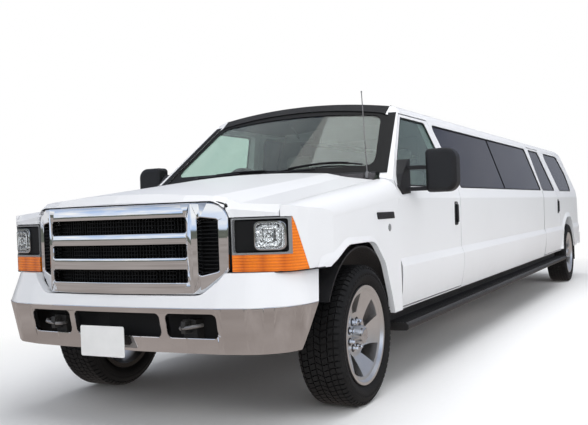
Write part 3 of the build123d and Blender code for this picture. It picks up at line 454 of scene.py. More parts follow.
for finish, names in node_finish.items():
    for name in names:
        mesh = nodes[name].data
        mesh.materials.clear()
        mesh.materials.append(finish.material)
        mesh.polygons.foreach_set("material_index", [0] * len(mesh.polygons))
for name, radius in edge_radius.items():
    nodes[name].modifiers.new("joined faces", "WELD").merge_threshold = 0.00002
    ease_edges(nodes[name], radius, 32).use_clamp_overlap = name != "grille"


# Places on the outer skin
skins = {}


def skin_y(name, x, z, sign):
    """Half width of one solid's outer face at a station and height."""
    if name not in skins:
        mesh = nodes[name].data
        skins[name] = BVHTree.FromPolygons([v.co.copy() for v in mesh.vertices],
                                           [tuple(f.vertices) for f in mesh.polygons])
    hit = skins[name].ray_cast(Vector((x, sign * 1.4, z)), Vector((0, -sign, 0)))[0]
    return hit.y if hit else sign * wall_y(z)


# Mesh building
def band(n, start=0):
    """Faces between one loop of n points and the next."""
    return [(start + i, start + (i + 1) % n, start + n + (i + 1) % n, start + n + i) for i in range(n)]


class Form:
    """Vertices and faces of one piece, gathered from solids of simple making."""

    def __init__(self):
        self.verts, self.faces = [], []

    def add(self, verts, faces):
        start = len(self.verts)
        self.verts += [Vector(v) for v in verts]
        self.faces += [tuple(start + i for i in face) for face in faces]
        return self

    def swept(self, sections):
        """Equal sections joined in turn and closed at both ends."""
        n = len(sections[0])
        last = n * (len(sections) - 1)
        faces = [face for start in range(0, last, n) for face in band(n, start)]
        faces += [tuple(reversed(range(n))), tuple(range(last, last + n))]
        return self.add([v for section in sections for v in section], faces)

    def prism(self, loop, shift):
        return self.swept([loop, [Vector(v) + Vector(shift) for v in loop]])

    def ring(self, outer, inner, shift):
        n = len(outer)
        verts = [Vector(v) for v in (*outer, *inner)]
        verts += [v + Vector(shift) for v in verts]
        faces = []
        for i in range(n):
            j = (i + 1) % n
            faces += [(i, n + i, n + j, j), (2 * n + i, 2 * n + j, 3 * n + j, 3 * n + i),
                      (i, j, 2 * n + j, 2 * n + i), (n + i, 3 * n + i, 3 * n + j, n + j)]
        return self.add(verts, faces)

    def box(self, low, high):
        (x0, y0, z0), (x1, y1, z1) = low, high
        return self.prism([(x0, y0, z0), (x1, y0, z0), (x1, y1, z0), (x0, y1, z0)], (0, 0, z1 - z0))

    def lathe(self, profile, centre, axis, steps, closed=False):
        axis = Vector(axis).normalized()
        side = axis.orthogonal().normalized()
        cross = axis.cross(side)
        n = len(profile)
        verts, faces = [], []
        for k in range(steps):
            turn = 2 * pi * k / steps
            out = side * cos(turn) + cross * sin(turn)
            verts += [Vector(centre) + out * r + axis * h for r, h in profile]
            a, b = k * n, (k + 1) % steps * n
            faces += [(a + i, a + i + 1, b + i + 1, b + i) for i in range(n - 1)]
            if closed:
                faces.append((a + n - 1, a, b, b + n - 1))
        return self.add(verts, faces)

    def tube(self, path, radius, sides=8):
        path = [Vector(p) for p in path]
        sections = []
        for k, spot in enumerate(path):
            along = (path[min(k + 1, len(path) - 1)] - path[max(k - 1, 0)]).normalized()
            hint = Vector((0, 0, 1)) if abs(along.z) < 0.9 else Vector((1, 0, 0))
            side = along.cross(hint).normalized()
            up = side.cross(along)
            turns = [2 * pi * i / sides for i in range(sides)]
            sections.append([spot + (side * cos(turn) + up * sin(turn)) * radius for turn in turns])
        return self.swept(sections)

    def make(self, name, finish, body="body", slot=None, ease=0.0, smooth=False):
        mesh = bpy.data.meshes.new(name)
        mesh.from_pydata([tuple(v) for v in self.verts], [], self.faces)
        work = bmesh.new()
        work.from_mesh(mesh)
        bmesh.ops.recalc_face_normals(work, faces=work.faces)
        work.to_mesh(mesh)
        work.free()
        mesh.materials.append(finish.material)
        piece = bpy.data.objects.new(name, mesh)
        scene.collection.objects.link(piece)
        if smooth or ease:
            mesh.shade_smooth()
            mesh.set_sharp_from_angle(angle=radians(40))
        if ease:
            ease_edges(piece, ease, 30)
        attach(piece, body)
        return piece


def rounded_loop(points, radius, steps=5):
    """Plane outline with its corners turned to short arcs; two numbers a point."""
    made = []
    n = len(points)
    for i in range(n):
        before, here, after = (Vector(points[(i + k) % n]) for k in (-1, 0, 1))
        to_before, to_after = (before - here).normalized(), (after - here).normalized()
        reach = min(radius, 0.45 * (before - here).length, 0.45 * (after - here).length)
        start, end = here + to_before * reach, here + to_after * reach
        for k in range(steps + 1):
            t = k / steps
            made.append(start * (1 - t) ** 2 + here * 2 * t * (1 - t) + end * t ** 2)
    return made


def rounded_box(left, low, right, high, radius, steps=5):
    return rounded_loop([(left, low), (right, low), (right, high), (left, high)], radius, steps)


def box_frame(left, low, right, high, inset, radii, steps=5):
    """Outer and inner outline of a rounded frame of even width."""
    return (rounded_box(left, low, right, high, radii[0], steps),
            rounded_box(left + inset, low + inset, right - inset, high - inset, radii[1], steps))


def drawn_in(points, margin):
    """Plane outline moved inwards evenly."""
    n = len(points)
    area = sum(points[i][0] * points[(i + 1) % n][1] - points[(i + 1) % n][0] * points[i][1] for i in range(n))
    turn = 1 if area > 0 else -1
    made = []
    for i in range(n):
        before, here, after = (Vector(points[(i + k) % n]) for k in (-1, 0, 1))
        a, b = (here - before).normalized(), (after - here).normalized()
        normal_a, normal_b = Vector((-a.y, a.x)) * turn, Vector((-b.y, b.x)) * turn
        joint = normal_a + normal_b
        made.append(here + joint * (margin / max(0.2, joint.dot(normal_a))))
    return made


def across(x, loop, sign=1):
    """Plane outline stood across the car at a station."""
    return [(x, sign * y, z) for y, z in loop]


def along(y, loop):
    """Plane outline stood along the car at a half width."""
    return [(x, y, z) for x, z in loop]


def on_nose(loop, ahead, sign=1):
    return [Vector((nose_x(y) + ahead, sign * y, z)) for y, z in loop]


# Wheels: treaded tyres, nuts, caps, discs
TYRE_HALF = [(0.2705, 0.104), (0.287, 0.1085), (0.300, 0.1195), (0.312, 0.1265), (0.325, 0.1312), (0.338, 0.1318),
             (0.340, 0.1300), (0.352, 0.1300), (0.354, 0.1310), (0.368, 0.1270), (0.382, 0.118), (0.389, 0.104),
             (0.391, 0.094)]
# Inner edge, outer edge, phase and skew of each row of tread blocks
TREAD_ROWS = ((-0.094, -0.062, 0.0, 0.25), (-0.056, -0.022, 0.5, 0.35), (-0.016, 0.016, 0.0, -0.4),
              (0.022, 0.056, 0.5, 0.35), (0.062, 0.094, 0.0, 0.25))
TREAD_COUNT = 68
# Foot, top and sides of a four-cornered block
BLOCK_FACES = [(0, 3, 2, 1), (4, 5, 6, 7), *band(4)]
SHOULDER = [(0.4002, 0.099), (0.3935, 0.1145), (0.3815, 0.1245), (0.376, 0.121), (0.384, 0.110), (0.386, 0.097)]
SIDE_BAR = ((0.342, -0.014), (0.351, -0.014), (0.351, 0.010), (0.342, 0.010))
SIDE_BAR_COUNT = 72
NUT = [(0.0, 0.0), (0.0150, 0.0), (0.0150, 0.004), (0.0118, 0.006), (0.0118, 0.026), (0.0085, 0.033), (0.0, 0.035)]
# Flat black disc round each nut: painted shade standing in for the shadowed recess of a nut hole.
NUT_SHADE_DISC = [(0.0145, 0.0), (0.0230, 0.0), (0.0230, 0.0012), (0.0145, 0.0008)]
NUT_COUNT, NUT_CIRCLE = 8, 0.080
HUB_CAP = [(0.0, 0.1170), (0.030, 0.1165), (0.042, 0.1140), (0.0485, 0.1080), (0.0495, 0.060), (0.0535, 0.0505),
           (0.0490, 0.0503)]
DISC = [(0.062, -0.050), (0.104, -0.050), (0.106, -0.056), (0.162, -0.056), (0.164, -0.054), (0.164, -0.034),
        (0.162, -0.032), (0.106, -0.032), (0.104, -0.036), (0.062, -0.036)]


def wheel_pieces(end, axle, side, sign):
    body = f"wheel_{end}_{side}"
    centre = Vector((axle, sign * WHEEL_Y, WHEEL_Z))
    out = Vector((0, sign, 0))

    def spot(radius, turn, outward):
        return centre + Vector((cos(turn), 0, sin(turn))) * radius + out * outward

    carcass = Form()
    carcass.lathe([(r, -h) for r, h in TYRE_HALF] + TYRE_HALF[::-1], centre, out, 96, closed=True)
    pitch = 2 * pi / TREAD_COUNT
    for low, high, phase, skew in TREAD_ROWS:
        for k in range(TREAD_COUNT):
            turn, wide, lean = (k + phase) * pitch, pitch * 0.40, skew * pitch
            foot = [(turn - wide, low), (turn + wide, low), (turn + wide + lean, high), (turn - wide + lean, high)]
            carcass.add([spot(r, t, y) for r in (0.389, 0.4005) for t, y in foot], BLOCK_FACES)
    for k in range(TREAD_COUNT):
        turn, wide = pitch * (k + 0.25), pitch * 0.36
        for face in (1, -1):
            carcass.swept([[spot(r, turn + t, face * y) for r, y in SHOULDER] for t in (-wide, wide)])
    for k in range(SIDE_BAR_COUNT):
        turn = 2 * pi * k / SIDE_BAR_COUNT
        carcass.add([spot(r, turn + t, y) for y in (0.1285, 0.1318) for r, t in SIDE_BAR], BLOCK_FACES)
    tyre = carcass.make(f"treaded_tyre_{end}_{side}", RUBBER, body, "tyre_rubber", smooth=True)
    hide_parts(f"tyre_{end}_{side}")

    nuts, shade_discs = Form(), Form()
    for k in range(NUT_COUNT):
        turn = 2 * pi * (k + 0.5) / NUT_COUNT
        nuts.lathe(NUT, spot(NUT_CIRCLE, turn, 0.0502), out, 6)
        # The black discs round the nuts are painted shade for the recessed nut holes.
        shade_discs.lathe(NUT_SHADE_DISC, spot(NUT_CIRCLE, turn, 0.0503), out, 20, closed=True)
    nuts.make(f"wheel_nuts_{end}_{side}", PLATING, body)
    shade_discs.make(f"nut_shade_discs_{end}_{side}", PLASTIC, body, smooth=True)
    Form().lathe(HUB_CAP, centre, out, 40).make(f"hub_cap_{end}_{side}", PLATING, body, smooth=True)
    disc = Form().lathe(DISC, centre, out, 64, closed=True)
    disc.make(f"brake_disc_{end}_{side}", BRAKE, body, smooth=True)


# Windows: gaskets round the panes and the surround of the windshield
def pane_y(z, inset):
    return SILL_Y - (z - SILL_Z) * LEAN - inset


def pillar_edge(z, behind):
    return (windshield_x(wall_y(z), z) - behind, z)


window_outlines = {
    "front": [pillar_edge(1.455, 0.050), pillar_edge(PANE_TOP, 0.050), (at(-1.785), PANE_TOP), (at(-1.945), PANE_LOW),
              (at(-0.700), PANE_LOW)],
    "rear": [(aft(1.785), PANE_LOW), (aft(1.690), PANE_TOP), (aft(1.075), PANE_TOP), (aft(0.900), PANE_LOW)],
    "stretch": [(at(-2.125), PANE_LOW), (at(-1.940), PANE_TOP), (aft(1.895), PANE_TOP), (aft(1.850), PANE_LOW)],
    "quarter": [(aft(0.560), PANE_LOW), (aft(0.760), PANE_TOP), (aft(-0.345), PANE_TOP), (aft(-0.560), 1.500),
                (aft(-0.470), PANE_LOW)],
}
door_outlines = {
    "front": [(at(-0.600), DOOR_LOW), (at(-0.600), 1.255), pillar_edge(1.340, 0.022), pillar_edge(DOOR_TOP, 0.022),
              (at(-1.870), DOOR_TOP), (at(-2.035), SILL_Z), (at(-2.035), DOOR_LOW)],
    "rear": [(aft(1.810), DOOR_LOW), (aft(1.810), SILL_Z), (aft(1.735), DOOR_TOP), (aft(1.010), DOOR_TOP),
             (aft(0.870), SILL_Z), (aft(0.700), 1.060), (aft(0.620), 0.900), (aft(0.560), 0.700),
             (aft(0.545), DOOR_LOW)],
}


def gaskets():
    for name, points in window_outlines.items():
        corner = {"front": 0.030, "quarter": 0.080}.get(name, 0.045)
        for side, sign in SIDES:
            body = f"door_{name}_{side}" if name in door_outlines else "body"
            loops = (rounded_loop(drawn_in(points, margin), corner) for margin in (0.0008, 0.011))
            outer, inner = ([(x, sign * pane_y(z, PANE_INSET - 0.0006), z) for x, z in loop] for loop in loops)
            rubber = Form().ring(outer, inner, (0, sign * 0.007, 0))
            rubber.make(f"gasket_{name}_{side}", GASKET, body, ease=0.002)
    x, half, z_low, z_high = at(-3.765), 0.0035, PANE_LOW + 0.004, PANE_TOP - 0.004
    for side, sign in SIDES:
        loop = [(x - half, z_low), (x + half, z_low), (x + half, z_high), (x - half, z_high)]
        bar = Form().prism([(a, sign * pane_y(z, 0.009), z) for a, z in loop], (0, sign * 0.005, 0))
        bar.make(f"pane_joint_{side}", GASKET, ease=0.001)


def shut_gap_seal_and_shades():
    """Dark rubber in the shut gaps round the doors: partly real seal rubber, partly painted shade standing in for the
    shade inside the gaps.
    """
    draft, depth, count = 0.1763, 0.012, 16
    for name, points in door_outlines.items():
        for side, sign in SIDES:
            loops = []
            for margin in (-0.0078, -0.0040):
                moved = drawn_in(points, margin)
                fine = [a.lerp(b, k / count) for a, b in zip(moved, moved[1:] + moved[:1]) for k in range(count)]
                loops.append([(x + draft * depth, sign * (wall_y(z) - depth), z) for x, z in fine])
            # Black strips set a little inside the gap: seal rubber and painted shade of the gap at once.
            seal = Form().ring(*loops, (draft * 0.004, -sign * 0.004, 0))
            seal.make(f"door_seal_{name}_{side}", GASKET)


def on_windshield(y, z, ahead):
    return Vector((windshield_x(y, z) - 0.018 + ahead, y, z))


def header_z(y):
    return 1.822 + 0.045 * (1 - min(1.0, (y / 0.72) ** 2))


def windshield_surround():
    """Painted-black border on the glass, and the black trims that lap over the pillars."""
    def border(low, half_low, half_high, drop, corner):
        shares = [1 - 2 * k / 10 for k in range(11)]
        loop = [(half_low * t, low) for t in shares]
        loop += [(-half_high * t, header_z(half_high * t) - drop) for t in shares]
        return [on_windshield(y, z, 0.0012) for y, z in rounded_loop(loop, corner, 3)]

    surround = Form().ring(border(1.357, 0.866, 0.716, 0.002, 0.004), border(1.404, 0.800, 0.668, 0.036, 0.070),
                           (0.003, 0, 0.002))
    surround.make("windshield_surround", GASKET)
    steps, low, high = 12, 1.352, 1.812
    for side, sign in SIDES:
        sections = []
        for k in range(steps + 1):
            z = low + (high - low) * k / steps
            edge = 0.858 - (z - 1.356) * 0.300
            lap = ((edge - 0.006, 0.0), (edge + 0.048, 0.0), (edge + 0.048, 0.0035), (edge - 0.006, 0.0045))
            sections.append([(windshield_x(y, z) + 0.0006 + ahead, sign * y, z) for y, ahead in lap])
        Form().swept(sections).make(f"pillar_trim_{side}", GASKET, smooth=True)


# Wipers, cowl, antenna
def cowl_and_wipers():
    def hood_lip(y, behind, z):
        bend = (y / 0.852) ** 2
        return Vector((at(-0.432) - 0.096 * bend - behind, y, z - 0.028 * bend))

    cowl_z, steps = 1.362, 16
    down = Vector((0, 0, -0.012))
    sections = []
    for k in range(steps + 1):
        y = 0.835 * (1 - 2 * k / steps)
        front, rear = hood_lip(y, 0.012, 1.334), Vector((windshield_x(y, cowl_z) + 0.004, y, cowl_z))
        sections.append([front, rear, rear + down, front + down])
    Form().swept(sections).make("cowl_panel", PLASTIC, smooth=True)

    louvres = Form()
    half = Vector((0, 0.004, 0))
    for centre_y in (-0.46, 0.0, 0.46):
        for k in range(11):
            y = centre_y - 0.15 + 0.03 * k
            back, fore = Vector((windshield_x(y, cowl_z) + 0.016, y, 1.3635)), hood_lip(y, 0.030, 1.341)
            louvres.prism([back - half, back + half, fore + half, fore - half], (0, 0, 0.004))
    louvres.make("cowl_louvres", PLASTIC)

    for name, pivot_y, rise in (("driver", -0.52, 0.016), ("passenger", 0.06, 0.046)):
        arm = Form()
        pivot = Vector((windshield_x(pivot_y, 1.366) + 0.012, pivot_y, 1.372))
        knee = on_windshield(pivot_y + 0.08, 1.384, 0.034)
        mid_y = pivot_y + 0.36
        hold = on_windshield(mid_y, 1.398, 0.030)
        arm.tube([pivot, pivot + Vector((0, 0.02, 0.014)), knee, (knee + hold) / 2 + Vector((0.006, 0, 0.002)), hold],
                 0.0065)
        arm.lathe([(0.0, -0.022), (0.019, -0.022), (0.019, 0.006), (0.014, 0.014), (0.0, 0.016)], pivot,
                  (0.5, 0, 0.85), 20)
        blade = [on_windshield(mid_y - 0.30 + 0.60 * k / 12, 1.390 + rise * sin(pi * 0.8 * k / 12), 0.014)
                 for k in range(13)]
        arm.tube(blade, 0.0055)
        arm.tube([p + Vector((0.010, 0, 0.006)) for p in blade[2:-2]], 0.0045, 6)
        for k in (2, 6, 10):
            arm.tube([blade[k], blade[k] + Vector((0.012, 0, 0.007))], 0.006, 6)
        arm.make(f"wiper_{name}", PLASTIC, smooth=True)

    mast = Form()
    foot, upright = Vector((at(-0.565), 0.800, 1.336)), (0, 0, 1)
    mast.lathe([(0.0, -0.016), (0.024, -0.016), (0.022, 0.004), (0.012, 0.016), (0.006, 0.030), (0.0, 0.030)], foot,
               upright, 24)
    rod = ((0, 0.02), (0.014, 0.18), (0.030, 0.36), (0.046, 0.531))
    mast.tube([foot + Vector((x, 0, z)) for x, z in rod], 0.0034)
    mast.lathe([(0.0, -0.006), (0.0050, -0.004), (0.0050, 0.004), (0.0, 0.007)], foot + Vector((0.046, 0, 0.535)),
               upright, 12)
    mast.make("antenna_mast", STEEL, smooth=True)


# Grille fill, lamps, plate, hooks
def grille_fins():
    def bowed(station, y):
        return at(station) - 0.05 * (y / 0.47) ** 2

    fill = Form()
    half, wide = 0.452, 0.113
    for z_low, z_high in ((1.030, 1.118), (0.906, 0.985), (0.781, 0.858)):
        for k in range(49):
            y = -half + 2 * half * k / 48
            x = bowed(0.932, y)
            fill.box((x - 0.030, y - 0.0025, z_low), (x, y + 0.0025, z_high))
        for k in range(3):
            z = z_low + (z_high - z_low) * (k + 1) / 4
            for j in range(8):
                y0, y1 = -half + wide * j, -half + wide * (j + 1)
                x = bowed(0.930, (y0 + y1) / 2)
                fill.box((x - 0.024, y0, z - 0.002), (x, y1, z + 0.002))
    for _, sign in SIDES:
        for k in range(15):
            z = 0.832 + 0.27 * k / 14
            fill.box((at(0.845), sign * 0.540 - 0.052, z - 0.0025), (at(0.880), sign * 0.540 + 0.052, z + 0.0025))
    fill.make("grille_fins", GASKET)


def dished(half_y, half_z, rows, sign):
    """Rounded outlines round the lamp's middle, each ahead of the nose by its own amount, closed at the last."""
    loops = []
    for ahead, grow in rows:
        y, z = half_y * grow, half_z * grow
        loop = rounded_box(LAMP_Y - y, LAMP_Z - z, LAMP_Y + y, LAMP_Z + z, 0.030 * grow, 6)
        loops.append(on_nose(loop, ahead, sign))
    form = Form()
    n = len(loops[0])
    for a, b in zip(loops, loops[1:]):
        form.add(a + b, band(n))
    return form.add(loops[-1], [tuple(range(n))])


# Reflector and lens: ahead of the nose, and share of full size
BOWL_ROWS = ((-0.012, 1.0), (-0.018, 0.97), (-0.036, 0.80), (-0.048, 0.45), (-0.052, 0.14))
LENS_ROWS = ((-0.010, 1.0), (-0.006, 0.985), (-0.0035, 0.90), (-0.003, 0.5), (-0.003, 0.15))
BULB = [(0.0, -0.004), (0.016, -0.004), (0.016, 0.004), (0.010, 0.008), (0.009, 0.024), (0.006, 0.031), (0.0, 0.033)]
HOOK = ((0.930, 0.395, 0.560), (0.968, 0.397, 0.560), (0.985, 0.412, 0.561), (0.988, 0.445, 0.566),
        (0.985, 0.480, 0.572), (0.962, 0.500, 0.574), (0.930, 0.503, 0.574))
BADGE = ((-0.505, 1.055), (-0.222, 1.055), (-0.207, 1.097), (-0.490, 1.097))


def front_corner(side, sign):
    dish = dished(0.071, 0.068, BOWL_ROWS, sign).make(f"lamp_reflector_{side}", REFLECTOR, smooth=True)
    dish.modifiers.new("dish wall", "SOLIDIFY").thickness = 0.002
    seat = (nose_x(LAMP_Y) - 0.048, sign * LAMP_Y, LAMP_Z)
    Form().lathe(BULB, seat, (1, 0, 0), 20).make(f"lamp_bulb_{side}", LAMP_GLASS, smooth=True)
    loops = box_frame(0.755, 0.935, 0.909, 1.079, 0.008, (0.034, 0.030), 6)
    rim = Form().ring(*(on_nose(loop, -0.013, sign) for loop in loops), (0.007, 0, 0))
    rim.make(f"lamp_rim_{side}", PLATING, ease=0.002)
    outer = rounded_box(0.652, 0.927, 0.916, 1.088, 0.012, 6)
    inner = rounded_box(0.754, 0.934, 0.910, 1.080, 0.034, 6)
    mask = Form().ring(on_nose(outer, -0.024, sign), on_nose(inner, -0.018, sign), (0.004, 0, 0))
    mask.make(f"lamp_mask_{side}", GASKET, smooth=True)
    pane = dished(0.069, 0.064, LENS_ROWS, sign).make(f"lamp_glass_{side}", LAMP_GLASS, smooth=True)
    pane.modifiers.new("glass wall", "SOLIDIFY").thickness = 0.003
    if side == "left":
        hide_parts("headlamp_lenses")

    hook = Form().tube([(at(x), sign * y, z) for x, y, z in HOOK], 0.0095, 10)
    hook.make(f"tow_hook_{side}", STEEL, smooth=True)
    fender = f"fender_{side}"
    loop = rounded_loop([(at(x), z) for x, z in BADGE], 0.008, 4)
    y = skin_y(fender, at(-0.35), 1.076, sign)
    badge = Form().prism(along(y - sign * 0.001, loop), (0, sign * 0.005, 0))
    badge.make(f"fender_badge_{side}", PLASTIC, ease=0.0015)
    x, z = at(-0.414), 1.0
    plug = Form().lathe([(0.0, 0.004), (0.016, 0.0035), (0.0225, 0.002), (0.0245, -0.001), (0.0, -0.001)],
                        (x, skin_y(fender, x, z, sign), z), (0, sign, 0), 28)
    plug.make(f"fender_plug_{side}", BEZEL, smooth=True)


def front_fittings():
    grille_fins()
    for side, sign in SIDES:
        front_corner(side, sign)

    outline = [(-0.515, 0.728), (0.515, 0.728), (0.628, 0.822), (0.634, 1.182), (-0.634, 1.182), (-0.628, 0.822)]
    loops = (rounded_loop(drawn_in(outline, margin), 0.085, 10) for margin in (-0.0068, -0.0006))
    Form().ring(*(on_nose(loop, -0.040) for loop in loops), (0.022, 0, 0)).make("grille_seal", GASKET, smooth=True)

    strip, strip_z = Form(), 0.8295
    for side, sign in SIDES:
        path = [(nose_x(0.645 + 0.02 * k) - 0.004, sign * (0.643 + 0.02 * k), strip_z) for k in range(17)]
        path += [(at(x), skin_y(f"fender_{side}", at(x), 0.838, sign) - sign * 0.002, strip_z)
                 for x in (0.60, 0.57, 0.54, 0.51)]
        strip.tube(path, 0.0045)
    strip.make("bumper_joint_strip", GASKET, smooth=True)

    # Black sheets behind the bumper openings: painted shade, standing in for the shade inside the openings.
    opening_shade = Form()
    for spans in ((-0.80, -0.60), (-0.60, -0.10), (-0.10, 0.46), (0.46, 0.80)):
        (x0, y0), (x1, y1) = ((at(0.925) - 0.10 * (y / 0.62) ** 2, y) for y in spans)
        opening_shade.prism([(x0, y0, 0.450), (x1, y1, 0.450), (x1, y1, 0.630), (x0, y0, 0.630)], (-0.004, 0, 0))
    opening_shade.make("bumper_opening_shade", GASKET)

    plate = Form().prism(across(at(1.006), rounded_box(-0.222, 0.402, 0.070, 0.562, 0.012)), (0.003, 0, 0))
    plate.make("front_plate_blank", PLATE, ease=0.001)
    bracket = Form().box((at(0.985), -0.200, 0.440), (at(1.0055), 0.048, 0.552))
    bracket.box((at(0.960), -0.120, 0.455), (at(0.985), -0.030, 0.500))
    bracket.make("front_plate_bracket", PLASTIC, ease=0.003)


# Doors, mirrors, boards
def door_handle(name, x, side, sign):
    y = wall_y(1.06) * sign
    back = y - sign * 0.002
    outer, inner = box_frame(x - 0.040, 0.968, x + 0.040, 1.152, 0.010, (0.018, 0.012))
    grip = rounded_box(x - 0.020, 0.990, x + 0.014, 1.130, 0.012)
    handle = Form().ring(along(back, outer), along(back, inner), (0, sign * 0.007, 0))
    handle.prism(along(back, inner), (0, sign * 0.003, 0))
    handle.prism(along(y + sign * 0.004, grip), (0, sign * 0.015, 0))
    handle.make(f"door_handle_{name}_{side}", PLASTIC, f"door_{name}_{side}", ease=0.0025)


def side_fittings():
    for side, sign in SIDES:
        door_handle("front", at(-1.912), side, sign)
        door_handle("rear", aft(0.792), side, sign)

        door, x_back = f"door_front_{side}", at(-0.9952)
        face = Form().prism(across(x_back, rounded_box(1.112, 1.240, 1.274, 1.480, 0.045, 6), sign), (-0.0025, 0, 0))
        face.make(f"mirror_glass_{side}", PLATING, door, ease=0.001)
        outer = rounded_box(1.104, 1.231, 1.282, 1.489, 0.052, 6)
        inner = rounded_box(1.113, 1.241, 1.273, 1.479, 0.044, 6)
        bezel = Form().ring(across(x_back + 0.001, outer, sign), across(x_back + 0.001, inner, sign), (-0.008, 0, 0))
        bezel.make(f"mirror_bezel_{side}", PLASTIC, door, ease=0.002)

        treads, ends = Form(), Form()
        front, rear = at(-0.575), aft(0.615)
        for k in range(7):
            y = sign * (0.900 + 0.019 * k)
            treads.box((rear, y - 0.0045, 0.3875), (front, y + 0.0045, 0.3925))
        treads.make(f"board_treads_{side}", RUBBER, ease=0.001)
        loop = [(0.868, 0.341), (0.868, 0.392), (1.031, 0.392), (1.047, 0.378), (1.047, 0.350), (1.031, 0.341)]
        for x, step in ((front + 0.013, 0.010), (rear - 0.013, -0.010)):
            ends.prism(across(x, loop, sign), (step, 0, 0))
        ends.make(f"board_end_caps_{side}", PLASTIC, ease=0.004)

        y = sign * 0.890
        flap = Form().box((aft(-0.545), y - 0.095, 0.270), (aft(-0.537), y + 0.095, 0.640))
        flap.box((aft(-0.549), y - 0.060, 0.600), (aft(-0.536), y + 0.060, 0.630))
        flap.make(f"mud_flap_{side}", RUBBER, ease=0.003)

        stations = (aft(-0.700), aft(2.5), at(-2.0), windshield_x(0.70, 1.868) - 0.012)
        bead = Form().tube([(x, sign * 0.7005, 1.868) for x in stations], 0.0055)
        bead.make(f"roof_bead_{side}", GASKET, smooth=True)

    y = skin_y("side_left", aft(-0.62), 1.04, 1)
    lid = Form().prism(along(y - 0.001, rounded_box(aft(-0.700), 0.960, aft(-0.545), 1.115, 0.022, 6)), (0, 0.003, 0))
    lid.make("fuel_lid", PAINT, ease=0.0015)


# Tail: step pad, plate, handle, hinge straps
def tail_fittings():
    tail = aft(TAIL_X)
    pad = Form().box((tail - 0.112, -0.60, 0.6485), (tail - 0.032, 0.60, 0.652))
    for k in range(28):
        y = -0.585 + 1.17 * k / 27
        pad.box((tail - 0.108, y - 0.008, 0.652), (tail - 0.036, y + 0.008, 0.6555))
    pad.make("bumper_step_pad", PLASTIC, ease=0.0015)
    plate = Form().prism(across(tail - 0.002, rounded_box(0.150, 0.800, 0.460, 0.956, 0.012)), (-0.003, 0, 0))
    plate.make("rear_plate_blank", PLATE, "cargo_door_left", ease=0.001)
    loops = box_frame(-0.235, 1.080, -0.060, 1.165, 0.013, (0.018, 0.012))
    grip = rounded_box(-0.205, 1.108, -0.090, 1.142, 0.012)
    handle = Form().ring(*(across(tail + 0.001, loop) for loop in loops), (-0.010, 0, 0))
    handle.prism(across(tail - 0.001, grip), (-0.016, 0, 0))
    handle.make("cargo_handle", PLASTIC, "cargo_door_right", ease=0.002)
    for side, sign in SIDES:
        straps = Form()
        for z in (0.780, 1.130):
            loop = [(0.745, z - 0.032), (0.878, z - 0.020), (0.878, z + 0.020), (0.745, z + 0.032)]
            straps.prism(across(tail + 0.001, rounded_loop(loop, 0.010, 4), sign), (-0.007, 0, 0))
        straps.make(f"cargo_hinge_straps_{side}", PAINT, f"cargo_door_{side}", ease=0.002)


# Cabin: padded seats, mirror, binnacle
COVER_GRID = 0.010
SWELL_FRAMES = 15
SEAM_HALF, SEAM_DEPTH = 0.016, 0.012


def cushion_blank(size):
    """Rounded block of foam, its sides drawn in between the corners, from a fine grid."""
    width, depth, height = size
    work = bmesh.new()
    bmesh.ops.create_cube(work, size=1.0)
    bmesh.ops.subdivide_edges(work, edges=work.edges, cuts=7, use_grid_fill=True)
    for v in work.verts:
        x, y, z = v.co * 2
        waist = 1.0 - 0.045 * (1 - abs(z))
        crown = 1.0 + 0.10 * (1 - x * x) * (1 - y * y)
        edge = 1.0 - 0.06 * (abs(x * y) ** 6) - 0.05 * abs(z) ** 4
        v.co = Vector((x * width / 2 * waist * edge, y * depth / 2 * waist * edge,
                       z * height / 2 * (crown if z > 0 else 1.0)))
    mesh = bpy.data.meshes.new("foam")
    work.to_mesh(mesh)
    work.free()
    return mesh


def stuffed(name, size, cap, channels=(-0.28, 0.0, 0.28)):
    """Cushion mesh swelled by cloth pressure, with sewn channels pressed in afterwards."""
    pad = bpy.data.objects.new(name, cushion_blank(size))
    scene.collection.objects.link(pad)
    view = bpy.context.view_layer
    view.objects.active = pad

    def settled():
        return bpy.data.meshes.new_from_object(pad.evaluated_get(bpy.context.evaluated_depsgraph_get()))

    remesh = pad.modifiers.new("cover", "REMESH")
    remesh.mode = "VOXEL"
    remesh.voxel_size = COVER_GRID
    view.update()
    covered = settled()
    pad.modifiers.clear()
    pad.data = covered
    before = [v.co.copy() for v in covered.vertices]
    cloth = pad.modifiers.new("swell", "CLOTH")
    cloth.settings.quality = 4
    cloth.settings.use_pressure = True
    cloth.settings.uniform_pressure_force = 4.0
    cloth.settings.tension_stiffness = 12.0
    cloth.settings.effector_weights.gravity = 0.0
    cloth.point_cache.frame_start = 1
    cloth.point_cache.frame_end = 20
    for step in range(1, SWELL_FRAMES + 1):
        scene.frame_set(step)
    swelled = settled()
    scene.frame_set(1)
    for v, start in zip(swelled.vertices, before):
        shift = v.co - start
        if shift.length > cap:
            v.co = start + shift.normalized() * cap
    pad.modifiers.clear()
    pad.data = swelled
    for v in pad.data.vertices:
        if v.co.z > 0:
            for spot in channels:
                near = abs(v.co.x - spot * size[0]) / SEAM_HALF
                if near < 1:
                    v.co.z -= SEAM_DEPTH * (1 - near * near) ** 2
    mesh = pad.data
    bpy.data.objects.remove(pad)
    mesh.shade_smooth()
    mesh.materials.append(HIDE.material)
    return mesh


def turned(degrees, axis):
    return Matrix.Rotation(radians(degrees), 4, axis)


def place_pad(name, mesh, spot, turn):
    pad = bpy.data.objects.new(name, mesh)
    scene.collection.objects.link(pad)
    pad.matrix_world = Matrix.Translation(spot) @ turn
    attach(pad, "body")
    return pad


